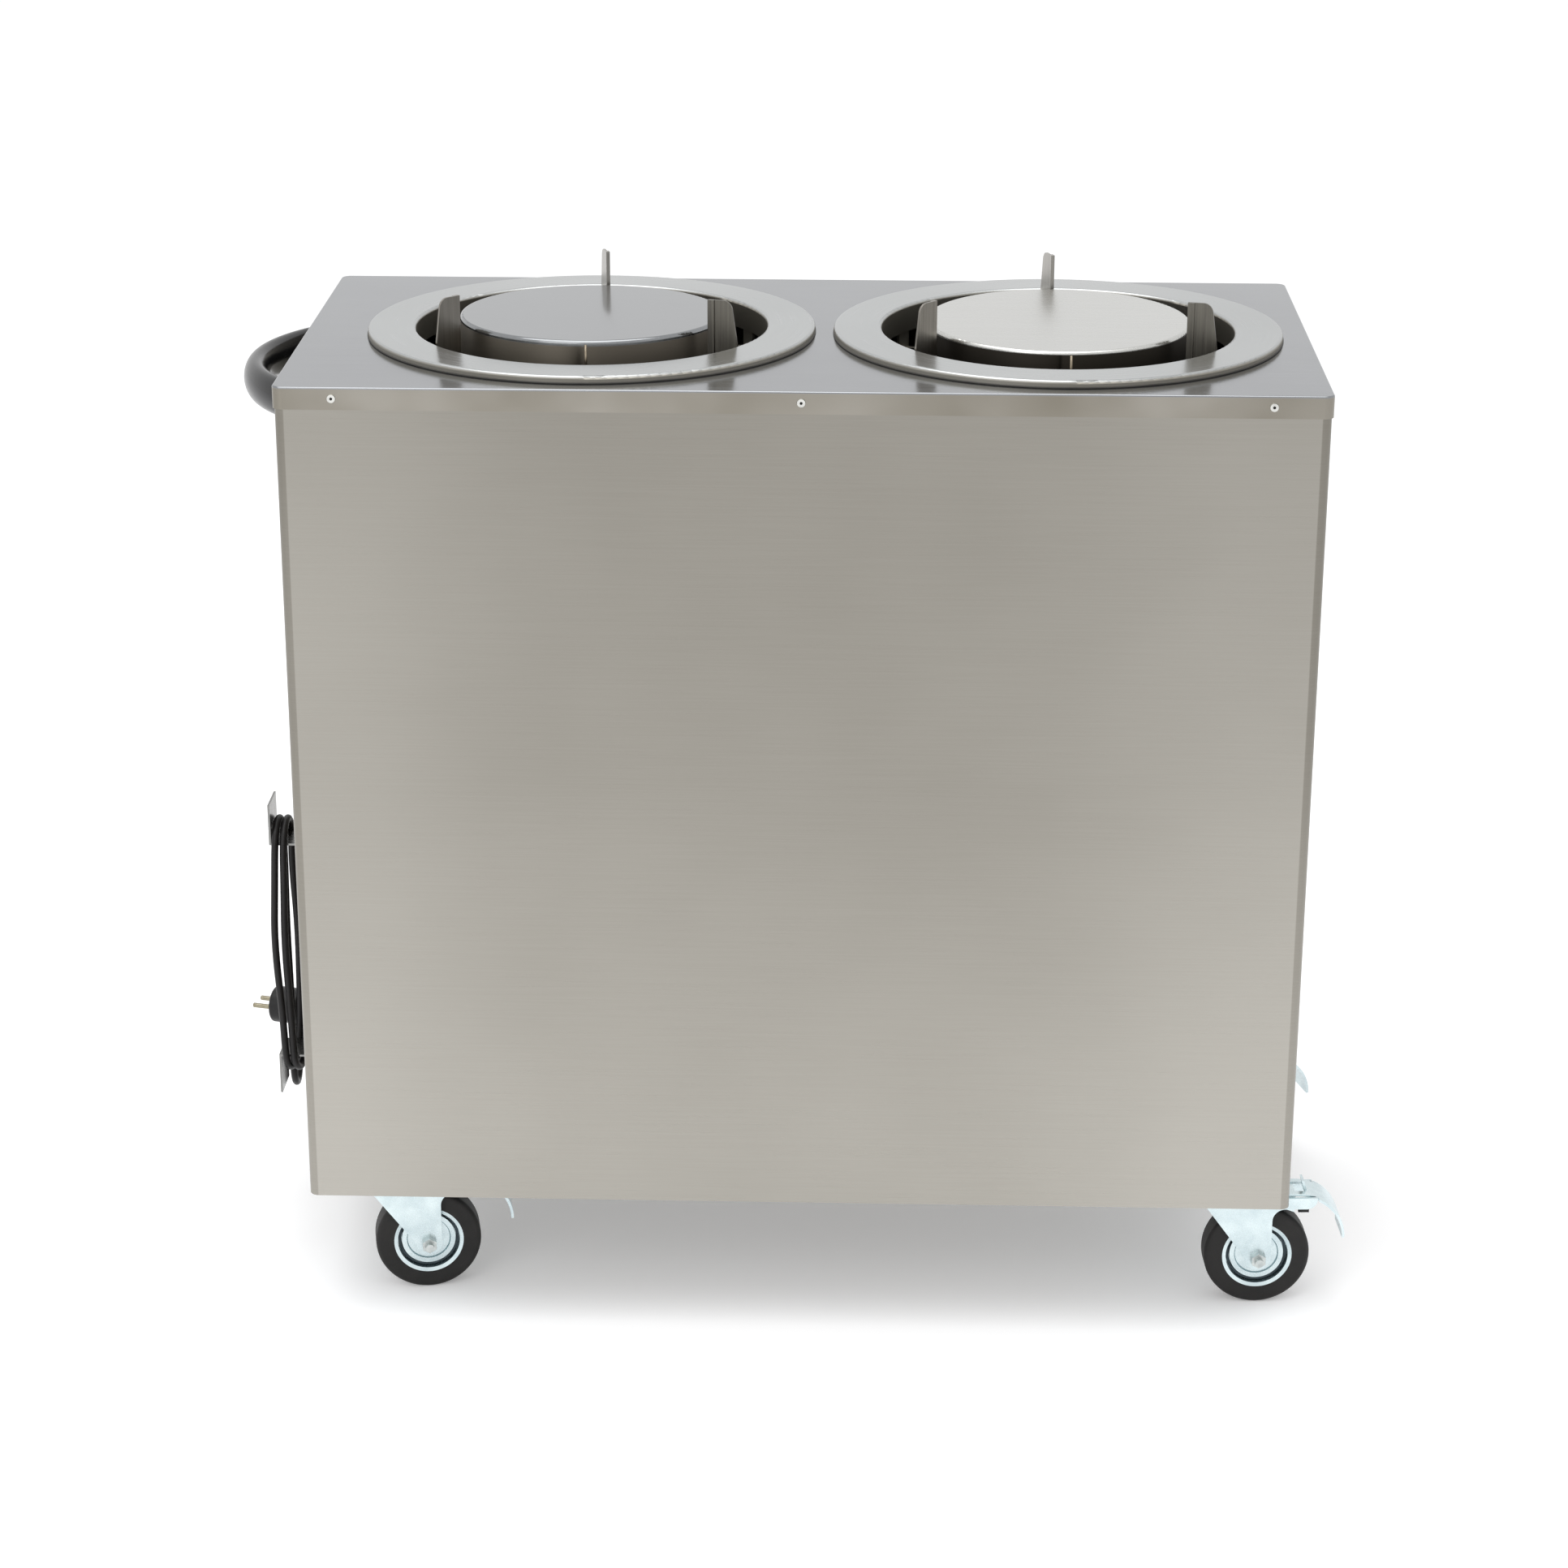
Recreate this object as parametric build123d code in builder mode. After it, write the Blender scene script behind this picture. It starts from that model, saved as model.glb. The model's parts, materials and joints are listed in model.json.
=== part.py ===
from build123d import *
from math import asin, cos, degrees, hypot, pi, radians, sin, sqrt, tan
import os

os.makedirs("parts", exist_ok=True)

# Twin heated plate dispenser cart.
# Millimetres, +Z up, X along the cart (push handle at -X), the floor at Z = 0,
# the origin on the floor under the middle of the cabinet.

# ---- cabinet ----
cart_height = 900.0  # floor to the top of the cover
cover_length = 912.0
cover_depth = 445.0
cover_sheet = 1.2
cover_flange = 20.0  # height of the folded rim of the cover
cover_corner = 9.0
cover_bend = 1.5
cover_overhang = 1.4  # rim of the cover outside the body, each side
panel_sheet = 1.0
body_corner = 9.0  # outside radius of the upright corners
panel_wrap_width = 26.0  # how far the front and back panels reach round the corner
panel_lip_width = 13.0  # inward lip under the base plate
body_bottom = 129.0
base_sheet = 2.0
post_wall = 2.0
post_leg_length = 30.0

# ---- wells ----
left_well_x = -196.0
right_well_x = 228.0
ring_outer = 203.5
ring_inner = 160.0
ring_rise = 7.0  # flat top of the ring above the cover
ring_sheet = 1.2
ring_roll = 3.0
collar_depth = 25.0
cover_hole_margin = 15.0  # hole in the cover beyond the collar
lug_drop = 18.0  # lugs below the collar
lug_sheet = 3.0
strap_sheet = 2.0
strap_lap = 8.0  # strap along the outside of the collar
strap_width = 18.0
rod_angle = 30.0  # first slide rod, the others a third of a turn on
rod_circle_radius = 150.0
rod_radius = 5.0
rod_to_spring = 28.0  # slide rod to its spring, centre to centre
spring_radius = 7.0
spring_wire = 2.0
lug_margin = 10.0
cage_edge = 15.0  # edge of the cage base beyond the circle of the slide rods
cage_inner = 92.0
cage_sheet = 3.0
boss_height = 15.0
boss_wall = 5.0

# ---- lifting platforms and carriages ----
platform_radius = 120.0
platform_sheet = 1.5
platform_skirt = 35.0
platform_edge = 3.0
left_platform_rise = 17.0  # top of the platform above the cover
right_platform_rise = 14.0
left_platform_tilt = -0.6  # degrees, front edge high
right_platform_tilt = 0.75  # front edge low
column_radius = 30.0
column_wall = 2.0
column_length = 195.0
column_flange = 58.0
flange_sheet = 2.0
arm_sheet = 4.0
arm_width = 24.0
bush_wall = 4.0
bush_length = 36.0
bush_above_arm = 8.0

# ---- plate guides ----
left_guide_angle = 90.0  # rear guide of each well, the others a third of a turn on
right_guide_angle = 92.5
guide_circle_radius = 147.0
guide_bar_radius = 4.0
guide_rise = 45.0  # top of the blade above the cover
guide_skew = 15.0  # blade off the radial line
guide_inner = 18.6  # bar centre to the inner edge
guide_outer = 8.7  # bar centre to the outer edge
guide_outer_top = 3.0
guide_sheet = 2.0
guide_slant_rise = 5.0  # start of the slanted edge above the cover
guide_corner = 9.0
hem_width = 6.0
hem_sheet = 1.5
guide_foot_gap = 25.0  # lower end of the blade above the cage boss
lug_half_width = 6.0
notch_reach = 9.0
notch_gap = 4.0

# ---- fits ----
running_clearance = 0.1
fixed_clearance = 0.05
loose_clearance = 0.3
cut_margin = 1.0  # how far a cutting shape runs past the sheet

# ---- push handle ----
handle_below_cover = 40.0  # cover top to the middle of the grip
handle_foot_y = 114.0  # middle of each foot on the panel
handle_projection = 60.4
grip_thick = 23.0
grip_high = 35.0
handle_screw_y = 106.0
handle_screw_radius = 3.0
handle_screw_depth = 12.0
screw_head_radius = 5.5
screw_head_height = 4.0

# ---- cord hooks ----
hook_width = 40.0
hook_sheet = 2.0
hook_reach = 57.4  # panel to the outside of the blade
upper_arm_top = 401.5
lower_arm_bottom = 178.5
hook_blade_length = 38.5
hook_foot_length = 36.0
hook_rivet_spread = 22.0

# ---- mains cord ----
cord_diameter = 7.0
cord_pitch = 8.0
cord_edge_gap = 0.5  # cord to the edge of the hook arm
turn_centre_drop = 9.0  # centre of an end turn inside the face of the hook arm
lane_start_x = -489.5
winding_turns = 2
winding_lead = 12.0
winding_tail_z = 215.0
winding_samples = 400  # points along the winding for measuring its gap to itself
bend_share = 0.45  # part of a straight run that each of its bends takes
lead_drop = 20.0  # straight fall of the lead below the gland

# ---- cord gland ----
gland_y = 60.0
gland_z = 326.0
gland_nut_width = 22.0
gland_nut_thick = 5.0
gland_arm_radius = 8.5
gland_reach = 18.0
gland_spout_radius = 8.0
gland_spout_length = 20.0
gland_thread_radius = 7.0
gland_thread_length = 9.0
gland_back_taper = 30.0  # degrees, back of the elbow
gland_cap_radius = 9.5  # inside radius of the hexagon cap on the spout
gland_cap_start = 9.0
gland_cap_high = 7.0

# ---- plug ----
plug_radius = 18.0
plug_depth = 30.0
plug_yaw = 14.0
plug_setback_length = 24.5
plug_edge = 3.0
plug_mouth = Vector(-507.5, 72.0, 152.0)
plug_centre_z = 192.0
relief_mouth_radius = 4.6
relief_root_radius = 7.5
relief_root_drop = 14.4  # root of the relief below the middle of the plug
pin_radius = 2.4
pin_length = 19.0
pin_spacing = 19.0
pin_root_length = 8.0
pin_tip = 1.2

# ---- controls ----
control_z = 700.0
knob_y = 36.0
knob_radius = 20.0
knob_height = 18.0
knob_taper = 4.0  # degrees
knob_edge = 1.5
knob_mark_wide = 2.0
knob_mark_long = 10.0
knob_mark_deep = 1.0
knob_mark_radius = 11.0  # knob centre to the middle of the mark
spindle_radius = 3.0
bushing_radius = 5.0
bushing_reach = 3.0
thermostat_width = 46.0
thermostat_depth = 32.0
thermostat_corner = 4.0
switch_y = -36.0
switch_frame_high = 30.0
switch_frame_wide = 20.0
switch_frame_thick = 2.0
switch_frame_corner = 2.0
switch_body_high = 26.0
switch_body_wide = 16.0
switch_depth = 24.0
rocker_high = 19.0
rocker_wide = 12.0
rocker_slot_high = 21.6
rocker_edge = 1.5
rocker_thick = 9.0
rocker_tilt = 9.0

# ---- heaters ----
heater_circle_radius = 112.0
heater_tube = 4.2
heater_height = 34.0
heater_gap_middle = -90.0  # the gap of the loop is at the front
heater_gap_angle = 24.0
heater_block_high = 12.0
heater_block_deep = 22.0
heater_block_margin = 12.6  # block beyond the middle of each leg of the loop

# ---- casters ----
caster_end_inset = 60.6  # middle of the swivel from the end of the body
caster_side_inset = 73.1
wheel_radius = 50.0
wheel_width = 28.0
tyre_shoulder = 5.0
rim_radius = 33.0
rim_bevel = 1.0
groove_radius = 29.5  # outside of the round groove in the face of the rim
groove_floor = 3.0  # half thickness of the rim under the groove
disc_radius = 25.5
disc_half = 9.5  # half thickness of the raised disc
disc_step_radius = 20.0
disc_step_run = 1.0
web_half = 8.0
hub_radius = 11.0
hub_width = 33.0
trail_length = 39.0
axle_radius = 4.0
axle_past_nut = 5.0
plate_length = 105.0
plate_width = 85.0
plate_sheet = 3.0
plate_corner = 6.0
bolt_grid_x = 80.0
bolt_grid_y = 60.0
bolt_radius = 4.0
bolt_hex_width = 13.0
bolt_head_height = 5.3
nut_high = 6.5
nut_room = 2.0  # cage base to the corners of the caster nuts
thread_past_nut = 2.0
race_radius = 30.0
race_high = 7.0
race_taper = 10.0  # degrees
head_radius = 36.0
fork_inside_width = 35.0
fork_sheet = 3.0
fork_tip = 12.0
fork_top_z = 112.2
fork_front_reach = 57.0
fork_arm_low_z = 101.0
fork_arm_reach = 54.0  # axle to the rear end of the arms
fork_heel_radius = 10.0  # rounded lower corner at the rear of the arms
fork_throat_radius = 12.0
bridge_gap = 4.0  # pedal knuckle to the bridge of the fork
pedal_sheet = 2.5
pedal_width = 33.0
knuckle_half = 4.0  # half length of the folded knuckle round the pedal pin
knuckle_drop = 3.0  # below the middle of the pin
knuckle_bevel = 6.0
tread_bend_x = 37.1  # from the axle to the start of the rounded tread
tread_radius = 44.0  # outside radius of the tread
tread_start_x = 55.0  # where the pedal widens beyond the fork arms
tread_width = 40.0
pedal_pin_radius = 2.5
pedal_pivot_x = 14.0  # from the axle
pedal_pivot_z = 104.0
pedal_window_start = 29.0
pedal_window_width = 20.0
release_tab_x = 43.2  # front face of the tab where it leaves the pedal
release_tab_lean = 3.2
release_tab_top = 124.0
release_tab_root = 2.0  # how far the tab starts below the top of the pedal
release_tab_width = 14.0
brake_pad_front_x = 26.0
brake_pad_back_x = 34.0
brake_pad_front_z = 96.5
brake_pad_back_z = 93.5
brake_pad_width = 22.0

# ---- rivets ----
rivet_head_radius = 4.0
rivet_head_high = 1.2
rivet_head_taper = 20.0  # degrees
rivet_shank_radius = 2.0
rivet_tail_radius = 3.2
rivet_tail = 3.0
mandrel_radius = 1.3
rivet_inset_end = 52.0  # end rivets from the end of the cover
rivet_side_y = 150.0
rivet_below_cover = 10.0

# ---- values that follow ----
third_turn = 120.0
body_length = cover_length - 2 * cover_overhang
body_depth = cover_depth - 2 * cover_overhang
body_top = cart_height - cover_sheet
body_half_x = body_length / 2
body_half_y = body_depth / 2
base_bottom = body_bottom + panel_sheet
base_top = base_bottom + base_sheet
ring_top = cart_height + ring_rise
left_platform_top = cart_height + left_platform_rise
right_platform_top = cart_height + right_platform_rise
guide_top = cart_height + guide_rise
guide_slant_start = cart_height + guide_slant_rise
collar_bottom = ring_top - collar_depth
collar_outer = ring_inner + ring_sheet
strap_inner = ring_inner + ring_sheet / 2
strap_outer = collar_outer + strap_sheet
lug_bottom = collar_bottom - lug_drop
lug_top = lug_bottom + lug_sheet
cage_top = base_top + cage_sheet
boss_top = cage_top + boss_height
arm_top = left_platform_top - platform_sheet - column_length
spring_circle_radius = rod_circle_radius + rod_to_spring
cage_outer = rod_circle_radius + cage_edge
lug_end = spring_circle_radius + lug_margin
nut_clear_radius = bolt_hex_width / sqrt(3) + nut_room
handle_z = cart_height - handle_below_cover
axle_z = wheel_radius
caster_x = body_half_x - caster_end_inset
caster_y = body_half_y - caster_side_inset
plate_bottom = base_bottom - plate_sheet
race_bottom = plate_bottom - race_high
head_top = race_bottom - loose_clearance
wells = {"left": left_well_x, "right": right_well_x}
guide_angles = {"left": left_guide_angle, "right": right_guide_angle}
platform_tops = {"left": left_platform_top, "right": right_platform_top}
platform_tilts = {"left": left_platform_tilt, "right": right_platform_tilt}
casters = {
    "front_left": (-caster_x, -caster_y),
    "front_right": (caster_x, -caster_y),
    "back_left": (-caster_x, caster_y),
    "back_right": (caster_x, caster_y),
}
# degrees that each caster has swivelled from straight ahead
caster_turns = {"front_left": 10.0, "front_right": 3.0, "back_left": 6.0, "back_right": 16.0}
rivet_gap = cover_overhang - cover_sheet
rivet_z = cart_height - rivet_below_cover
rivet_end_x = cover_length / 2 - rivet_inset_end


def save(piece, name):
    """Label a finished piece and write its STEP file."""
    piece.part.label = name
    export_step(piece.part, f"parts/{name}.step")


def polar(radius, angle, centre_x=0.0, z=0.0):
    """Point at an angle and radius about an upright axis on the centre plane."""
    return Vector(centre_x + radius * cos(radians(angle)), radius * sin(radians(angle)), z)


def well_plane(side, z):
    """Level plane at height z, centred on a well."""
    return Plane(origin=(wells[side], 0, z))


def end_plane(distance=0.0):
    """Plane of the left side panel, facing out along -X, with Y to its left and Z up."""
    return Plane(origin=(-body_half_x - distance, 0, 0), x_dir=(0, -1, 0), z_dir=(-1, 0, 0))


def body_outline(inset):
    """Outline of the cabinet body, moved inwards by the inset."""
    with BuildSketch() as outline:
        Rectangle(body_length - 2 * inset, body_depth - 2 * inset)
        fillet(outline.vertices(), body_corner - inset)
    return outline.sketch


# ---------------------------------------------------------------- cabinet

front_rivets = [(x, rivet_z) for x in (-rivet_end_x, 0, rivet_end_x)]
side_rivets = [(y, rivet_z) for y in (-rivet_side_y, rivet_side_y)]
front_face = Plane(origin=(0, -cover_depth / 2, 0), x_dir=(1, 0, 0), z_dir=(0, -1, 0))
back_face = Plane(origin=(0, cover_depth / 2, 0), x_dir=(-1, 0, 0), z_dir=(0, 1, 0))
left_face = Plane(origin=(-cover_length / 2, 0, 0), x_dir=(0, -1, 0), z_dir=(-1, 0, 0))
right_face = Plane(origin=(cover_length / 2, 0, 0), x_dir=(0, 1, 0), z_dir=(1, 0, 0))
rivet_rows = [
    (front_face, front_rivets),
    (back_face, front_rivets),
    (left_face, side_rivets),
    (right_face, side_rivets),
]
rivet_grip = cover_sheet + rivet_gap + panel_sheet


def rivet_holes(rows):
    """Cut the rivet holes of the given faces through the sheet."""
    for face, spots in rows:
        with BuildSketch(face) as holes:
            with Locations(*spots):
                Circle(rivet_shank_radius + fixed_clearance)
        extrude(holes.sketch, amount=-rivet_grip - cut_margin, mode=Mode.SUBTRACT)


with BuildPart() as top_cover:
    with BuildSketch(Plane.XY.offset(cart_height - cover_flange)):
        RectangleRounded(cover_length, cover_depth, cover_corner)
    extrude(amount=cover_flange)
    fillet(top_cover.edges().group_by(Axis.Z)[-1], cover_bend)
    with BuildSketch(Plane.XY.offset(cart_height - cover_flange)):
        RectangleRounded(
            cover_length - 2 * cover_sheet, cover_depth - 2 * cover_sheet, cover_corner - cover_sheet
        )
    extrude(amount=cover_flange - cover_sheet, mode=Mode.SUBTRACT)
    with BuildSketch(Plane.XY.offset(cart_height)):
        with Locations((left_well_x, 0), (right_well_x, 0)):
            Circle(collar_outer + cover_hole_margin)
    extrude(amount=-cover_sheet, mode=Mode.SUBTRACT)
    rivet_holes(rivet_rows)
save(top_cover, "top_cover")


def long_panel(side_sign, face, spots):
    """Front or back panel, wrapped round both corners, with its lip under the base."""
    with BuildPart() as panel:
        with BuildSketch(Plane.XY.offset(body_bottom)):
            add(body_outline(0))
            add(body_outline(panel_sheet), mode=Mode.SUBTRACT)
            with Locations((0, side_sign * (body_half_y - panel_wrap_width / 2))):
                Rectangle(body_length, panel_wrap_width, mode=Mode.INTERSECT)
        extrude(amount=body_top - body_bottom)
        with BuildSketch(Plane.XY.offset(body_bottom)):
            with Locations((0, side_sign * (body_half_y - panel_lip_width / 2 - panel_sheet / 2))):
                Rectangle(body_length - 2 * panel_wrap_width, panel_lip_width)
        extrude(amount=panel_sheet)
        rivet_holes([(face, spots)])
    return panel


front_panel = long_panel(-1, front_face, front_rivets)
save(front_panel, "front_panel")
back_panel = long_panel(1, back_face, front_rivets)
save(back_panel, "back_panel")

handle_screw_spots = [(y, handle_z) for y in (-handle_screw_y, handle_screw_y)]
upper_foot_z = upper_arm_top - hook_sheet - hook_foot_length / 2
lower_foot_z = lower_arm_bottom + hook_sheet + hook_foot_length / 2
hook_rivet_spots = [
    (y, z)
    for y in (-hook_rivet_spread / 2, hook_rivet_spread / 2)
    for z in (upper_foot_z, lower_foot_z)
]
side_panel_width = body_depth - 2 * panel_wrap_width

with BuildPart() as left_side_panel:
    with BuildSketch(Plane.XY.offset(body_bottom)):
        with Locations((-body_half_x + panel_sheet / 2, 0)):
            Rectangle(panel_sheet, side_panel_width)
    extrude(amount=body_top - body_bottom)
    rivet_holes([(left_face, side_rivets)])
    with BuildSketch(end_plane()):
        with Locations(*handle_screw_spots):
            Circle(handle_screw_radius + fixed_clearance)
        with Locations(*hook_rivet_spots):
            Circle(rivet_shank_radius + fixed_clearance)
        with Locations((-knob_y, control_z)):
            Circle(bushing_radius + fixed_clearance)
        with Locations((-switch_y, control_z)):
            Rectangle(switch_body_wide, switch_body_high)
        with Locations((-gland_y, gland_z)):
            Circle(gland_thread_radius + fixed_clearance)
    extrude(amount=-panel_sheet, mode=Mode.SUBTRACT)
save(left_side_panel, "left_side_panel")

with BuildPart() as right_side_panel:
    with BuildSketch(Plane.XY.offset(body_bottom)):
        with Locations((body_half_x - panel_sheet / 2, 0)):
            Rectangle(panel_sheet, side_panel_width)
    extrude(amount=body_top - body_bottom)
    rivet_holes([(right_face, side_rivets)])
save(right_side_panel, "right_side_panel")

with BuildPart() as base_plate:
    with BuildSketch(Plane.XY.offset(base_bottom)):
        add(body_outline(panel_sheet))
        for spot in casters.values():
            with Locations(spot):
                with GridLocations(bolt_grid_x, bolt_grid_y, 2, 2):
                    Circle(bolt_radius + fixed_clearance, mode=Mode.SUBTRACT)
    extrude(amount=base_sheet)
save(base_plate, "base_plate")

with BuildPart() as corner_posts:
    with BuildSketch(Plane.XY.offset(base_top)):
        add(body_outline(panel_sheet))
        add(body_outline(panel_sheet + post_wall), mode=Mode.SUBTRACT)
        Rectangle(body_length - 2 * post_leg_length, body_depth, mode=Mode.SUBTRACT)
        Rectangle(body_length, body_depth - 2 * post_leg_length, mode=Mode.SUBTRACT)
    extrude(amount=body_top - base_top)
save(corner_posts, "corner_posts")

hook_face = end_plane(hook_sheet)
hook_grip = hook_sheet + panel_sheet

with BuildPart() as blind_rivets:
    for face, spots, grip in [(f, s, rivet_grip) for f, s in rivet_rows] + [
        (hook_face, hook_rivet_spots, hook_grip)
    ]:
        with BuildSketch(face):
            with Locations(*spots):
                Circle(rivet_head_radius)
        extrude(amount=rivet_head_high, taper=rivet_head_taper)
        with BuildSketch(face):
            with Locations(*spots):
                Circle(rivet_shank_radius)
        extrude(amount=-grip)
        with BuildSketch(face.offset(-grip)):
            with Locations(*spots):
                Circle(rivet_tail_radius)
        extrude(amount=-rivet_tail)
        with BuildSketch(face.offset(rivet_head_high)):
            with Locations(*spots):
                Circle(mandrel_radius)
        extrude(amount=-rivet_head_high, mode=Mode.SUBTRACT)
save(blind_rivets, "blind_rivets")

# ---------------------------------------------------------------- wells


def make_ring(side):
    """Rolled ring with its collar, and the lugs that carry rods, springs and guides."""
    centre = wells[side]
    section = Plane(origin=(centre, 0, 0), x_dir=(1, 0, 0), z_dir=(0, -1, 0))
    with BuildPart() as ring:
        with BuildSketch(section):
            with BuildLine():
                Polyline(
                    (ring_outer, cart_height),
                    (ring_outer, ring_top),
                    (ring_inner, ring_top),
                    (ring_inner, collar_bottom),
                    (collar_outer, collar_bottom),
                    (collar_outer, ring_top - ring_sheet),
                    (ring_outer - ring_sheet, ring_top - ring_sheet),
                    (ring_outer - ring_sheet, cart_height),
                    close=True,
                )
            make_face()
        revolve(axis=Axis((centre, 0, 0), (0, 0, 1)))
        fillet(ring.edges().group_by(Axis.Z)[-1], ring_roll)
        with BuildSketch(well_plane(side, lug_bottom)):
            for start, lug_from, lug_to, width in (
                (rod_angle, rod_circle_radius - lug_margin, lug_end, strap_width),
                (
                    guide_angles[side],
                    guide_circle_radius - lug_half_width,
                    strap_outer,
                    2 * lug_half_width,
                ),
            ):
                with PolarLocations((lug_from + lug_to) / 2, 3, start):
                    Rectangle(lug_to - lug_from, width)
            with PolarLocations(rod_circle_radius, 3, rod_angle):
                Circle(rod_radius + fixed_clearance, mode=Mode.SUBTRACT)
            with PolarLocations(guide_circle_radius, 3, guide_angles[side]):
                Circle(guide_bar_radius + running_clearance, mode=Mode.SUBTRACT)
        extrude(amount=lug_sheet)
        with BuildSketch(well_plane(side, lug_bottom)):
            for start, width in (
                (rod_angle, strap_width),
                (guide_angles[side], 2 * lug_half_width),
            ):
                with PolarLocations((strap_inner + strap_outer) / 2, 3, start):
                    Rectangle(strap_outer - strap_inner, width)
        extrude(amount=lug_drop + strap_lap)
    return ring


with BuildPart() as slide_rods:
    for side in wells:
        with BuildSketch(well_plane(side, cage_top)):
            with PolarLocations(rod_circle_radius, 3, rod_angle):
                Circle(rod_radius)
        extrude(amount=lug_top - cage_top)
save(slide_rods, "slide_rods")

with BuildPart() as cage_bases:
    for side in wells:
        with BuildSketch(well_plane(side, base_top)):
            Circle(cage_outer)
            Circle(cage_inner, mode=Mode.SUBTRACT)
            with Locations(*[(x - wells[side], y) for x, y in casters.values()]):
                with GridLocations(bolt_grid_x, bolt_grid_y, 2, 2):
                    Circle(nut_clear_radius, mode=Mode.SUBTRACT)
        extrude(amount=cage_sheet)
        with BuildSketch(well_plane(side, cage_top)):
            for circle, start, bore in (
                (rod_circle_radius, rod_angle, rod_radius + fixed_clearance),
                (guide_circle_radius, guide_angles[side], guide_bar_radius + running_clearance),
            ):
                with PolarLocations(circle, 3, start):
                    Circle(bore + boss_wall)
                with PolarLocations(circle, 3, start):
                    Circle(bore, mode=Mode.SUBTRACT)
        extrude(amount=boss_height)
save(cage_bases, "cage_bases")


def make_springs(side):
    """The three extension springs of a well, from the ring lugs to the carriage arms."""
    with BuildPart() as springs:
        with BuildSketch(well_plane(side, arm_top)):
            with PolarLocations(spring_circle_radius, 3, rod_angle):
                Circle(spring_radius)
            with PolarLocations(spring_circle_radius, 3, rod_angle):
                Circle(spring_radius - spring_wire, mode=Mode.SUBTRACT)
        extrude(amount=lug_bottom - arm_top)
    return springs


def platform_plane(side):
    """Plane of a platform's top face; each one leans a little on its rods."""
    tilt = radians(platform_tilts[side])
    return Plane(
        origin=(wells[side], 0, platform_tops[side]), x_dir=(1, 0, 0), z_dir=(0, -sin(tilt), cos(tilt))
    )


def make_platform(side):
    """Lifting platform: an inverted dish with a deep skirt."""
    top = platform_plane(side)
    with BuildPart() as platform:
        with BuildSketch(top):
            Circle(platform_radius)
        extrude(amount=-platform_skirt)
        rim = platform.edges().filter_by(GeomType.CIRCLE).sort_by(Axis.Z)[-1]
        fillet(rim, platform_edge)
        with BuildSketch(top.offset(-platform_sheet)):
            Circle(platform_radius - platform_sheet)
        extrude(amount=-platform_skirt, mode=Mode.SUBTRACT)
    return platform


def make_carriage(side):
    """Carriage: flange under the platform, column, three arms and their bushes."""
    under = platform_plane(side).offset(-platform_sheet)
    column_top = platform_tops[side]
    with BuildPart() as carriage:
        with BuildSketch(well_plane(side, arm_top - arm_sheet)):
            Circle(column_radius)
            Circle(column_radius - column_wall, mode=Mode.SUBTRACT)
        extrude(amount=column_top - arm_top + arm_sheet)
        split(bisect_by=under.offset(-flange_sheet / 2), keep=Keep.BOTTOM)
        with BuildSketch(under):
            Circle(column_flange)
        extrude(amount=-flange_sheet)
        with BuildSketch(well_plane(side, arm_top - arm_sheet)):
            Circle(column_radius)
            with PolarLocations(lug_end / 2, 3, rod_angle):
                Rectangle(lug_end, arm_width)
            Circle(column_radius - column_wall, mode=Mode.SUBTRACT)
            with PolarLocations(rod_circle_radius, 3, rod_angle):
                Circle(rod_radius + running_clearance, mode=Mode.SUBTRACT)
        extrude(amount=arm_sheet)
        with BuildSketch(well_plane(side, arm_top + bush_above_arm)):
            with PolarLocations(rod_circle_radius, 3, rod_angle):
                Circle(rod_radius + running_clearance + bush_wall)
            with PolarLocations(rod_circle_radius, 3, rod_angle):
                Circle(rod_radius + running_clearance, mode=Mode.SUBTRACT)
        extrude(amount=-bush_length)
    return carriage


def make_guide(side, angle):
    """Plate guide: a hemmed blade on an upright bar that turns in the cage and the ring."""
    pivot = polar(guide_circle_radius, angle, wells[side])
    inward = radians(angle + guide_skew + 180)
    along = Vector(cos(inward), sin(inward), 0)
    blade_plane = Plane(origin=pivot, x_dir=along, z_dir=(along.Y, -along.X, 0))
    foot = boss_top + guide_foot_gap
    notch_low = lug_bottom - notch_gap
    notch_high = lug_top + notch_gap
    with BuildPart() as guide:
        with BuildSketch(blade_plane.offset(-guide_sheet / 2)) as blade:
            with BuildLine():
                Polyline(
                    (0, foot),
                    (guide_inner, foot),
                    (guide_inner, guide_top),
                    (-guide_outer_top, guide_top),
                    (-guide_outer, guide_slant_start),
                    (-guide_outer, notch_high),
                    (notch_reach, notch_high),
                    (notch_reach, notch_low),
                    (0, notch_low),
                    close=True,
                )
            make_face()
            fillet(blade.vertices().sort_by_distance((-guide_outer_top, guide_top))[0], guide_corner)
        extrude(amount=guide_sheet)
        with BuildSketch(blade_plane.offset(-guide_sheet / 2)):
            with Locations((guide_inner - hem_width / 2, (foot + guide_top) / 2)):
                Rectangle(hem_width, guide_top - foot)
        extrude(amount=-hem_sheet)
        with BuildSketch(Plane(origin=(pivot.X, pivot.Y, cage_top + loose_clearance))):
            Circle(guide_bar_radius)
        extrude(amount=notch_high - cage_top - loose_clearance)
    return guide


for side in wells:
    save(make_ring(side), f"ring_{side}")
    save(make_springs(side), f"springs_{side}")
    save(make_platform(side), f"platform_{side}")
    save(make_carriage(side), f"carriage_{side}")
    for number, place in enumerate(("back", "front_left", "front_right")):
        save(make_guide(side, guide_angles[side] + number * third_turn), f"guide_{side}_{place}")

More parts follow.
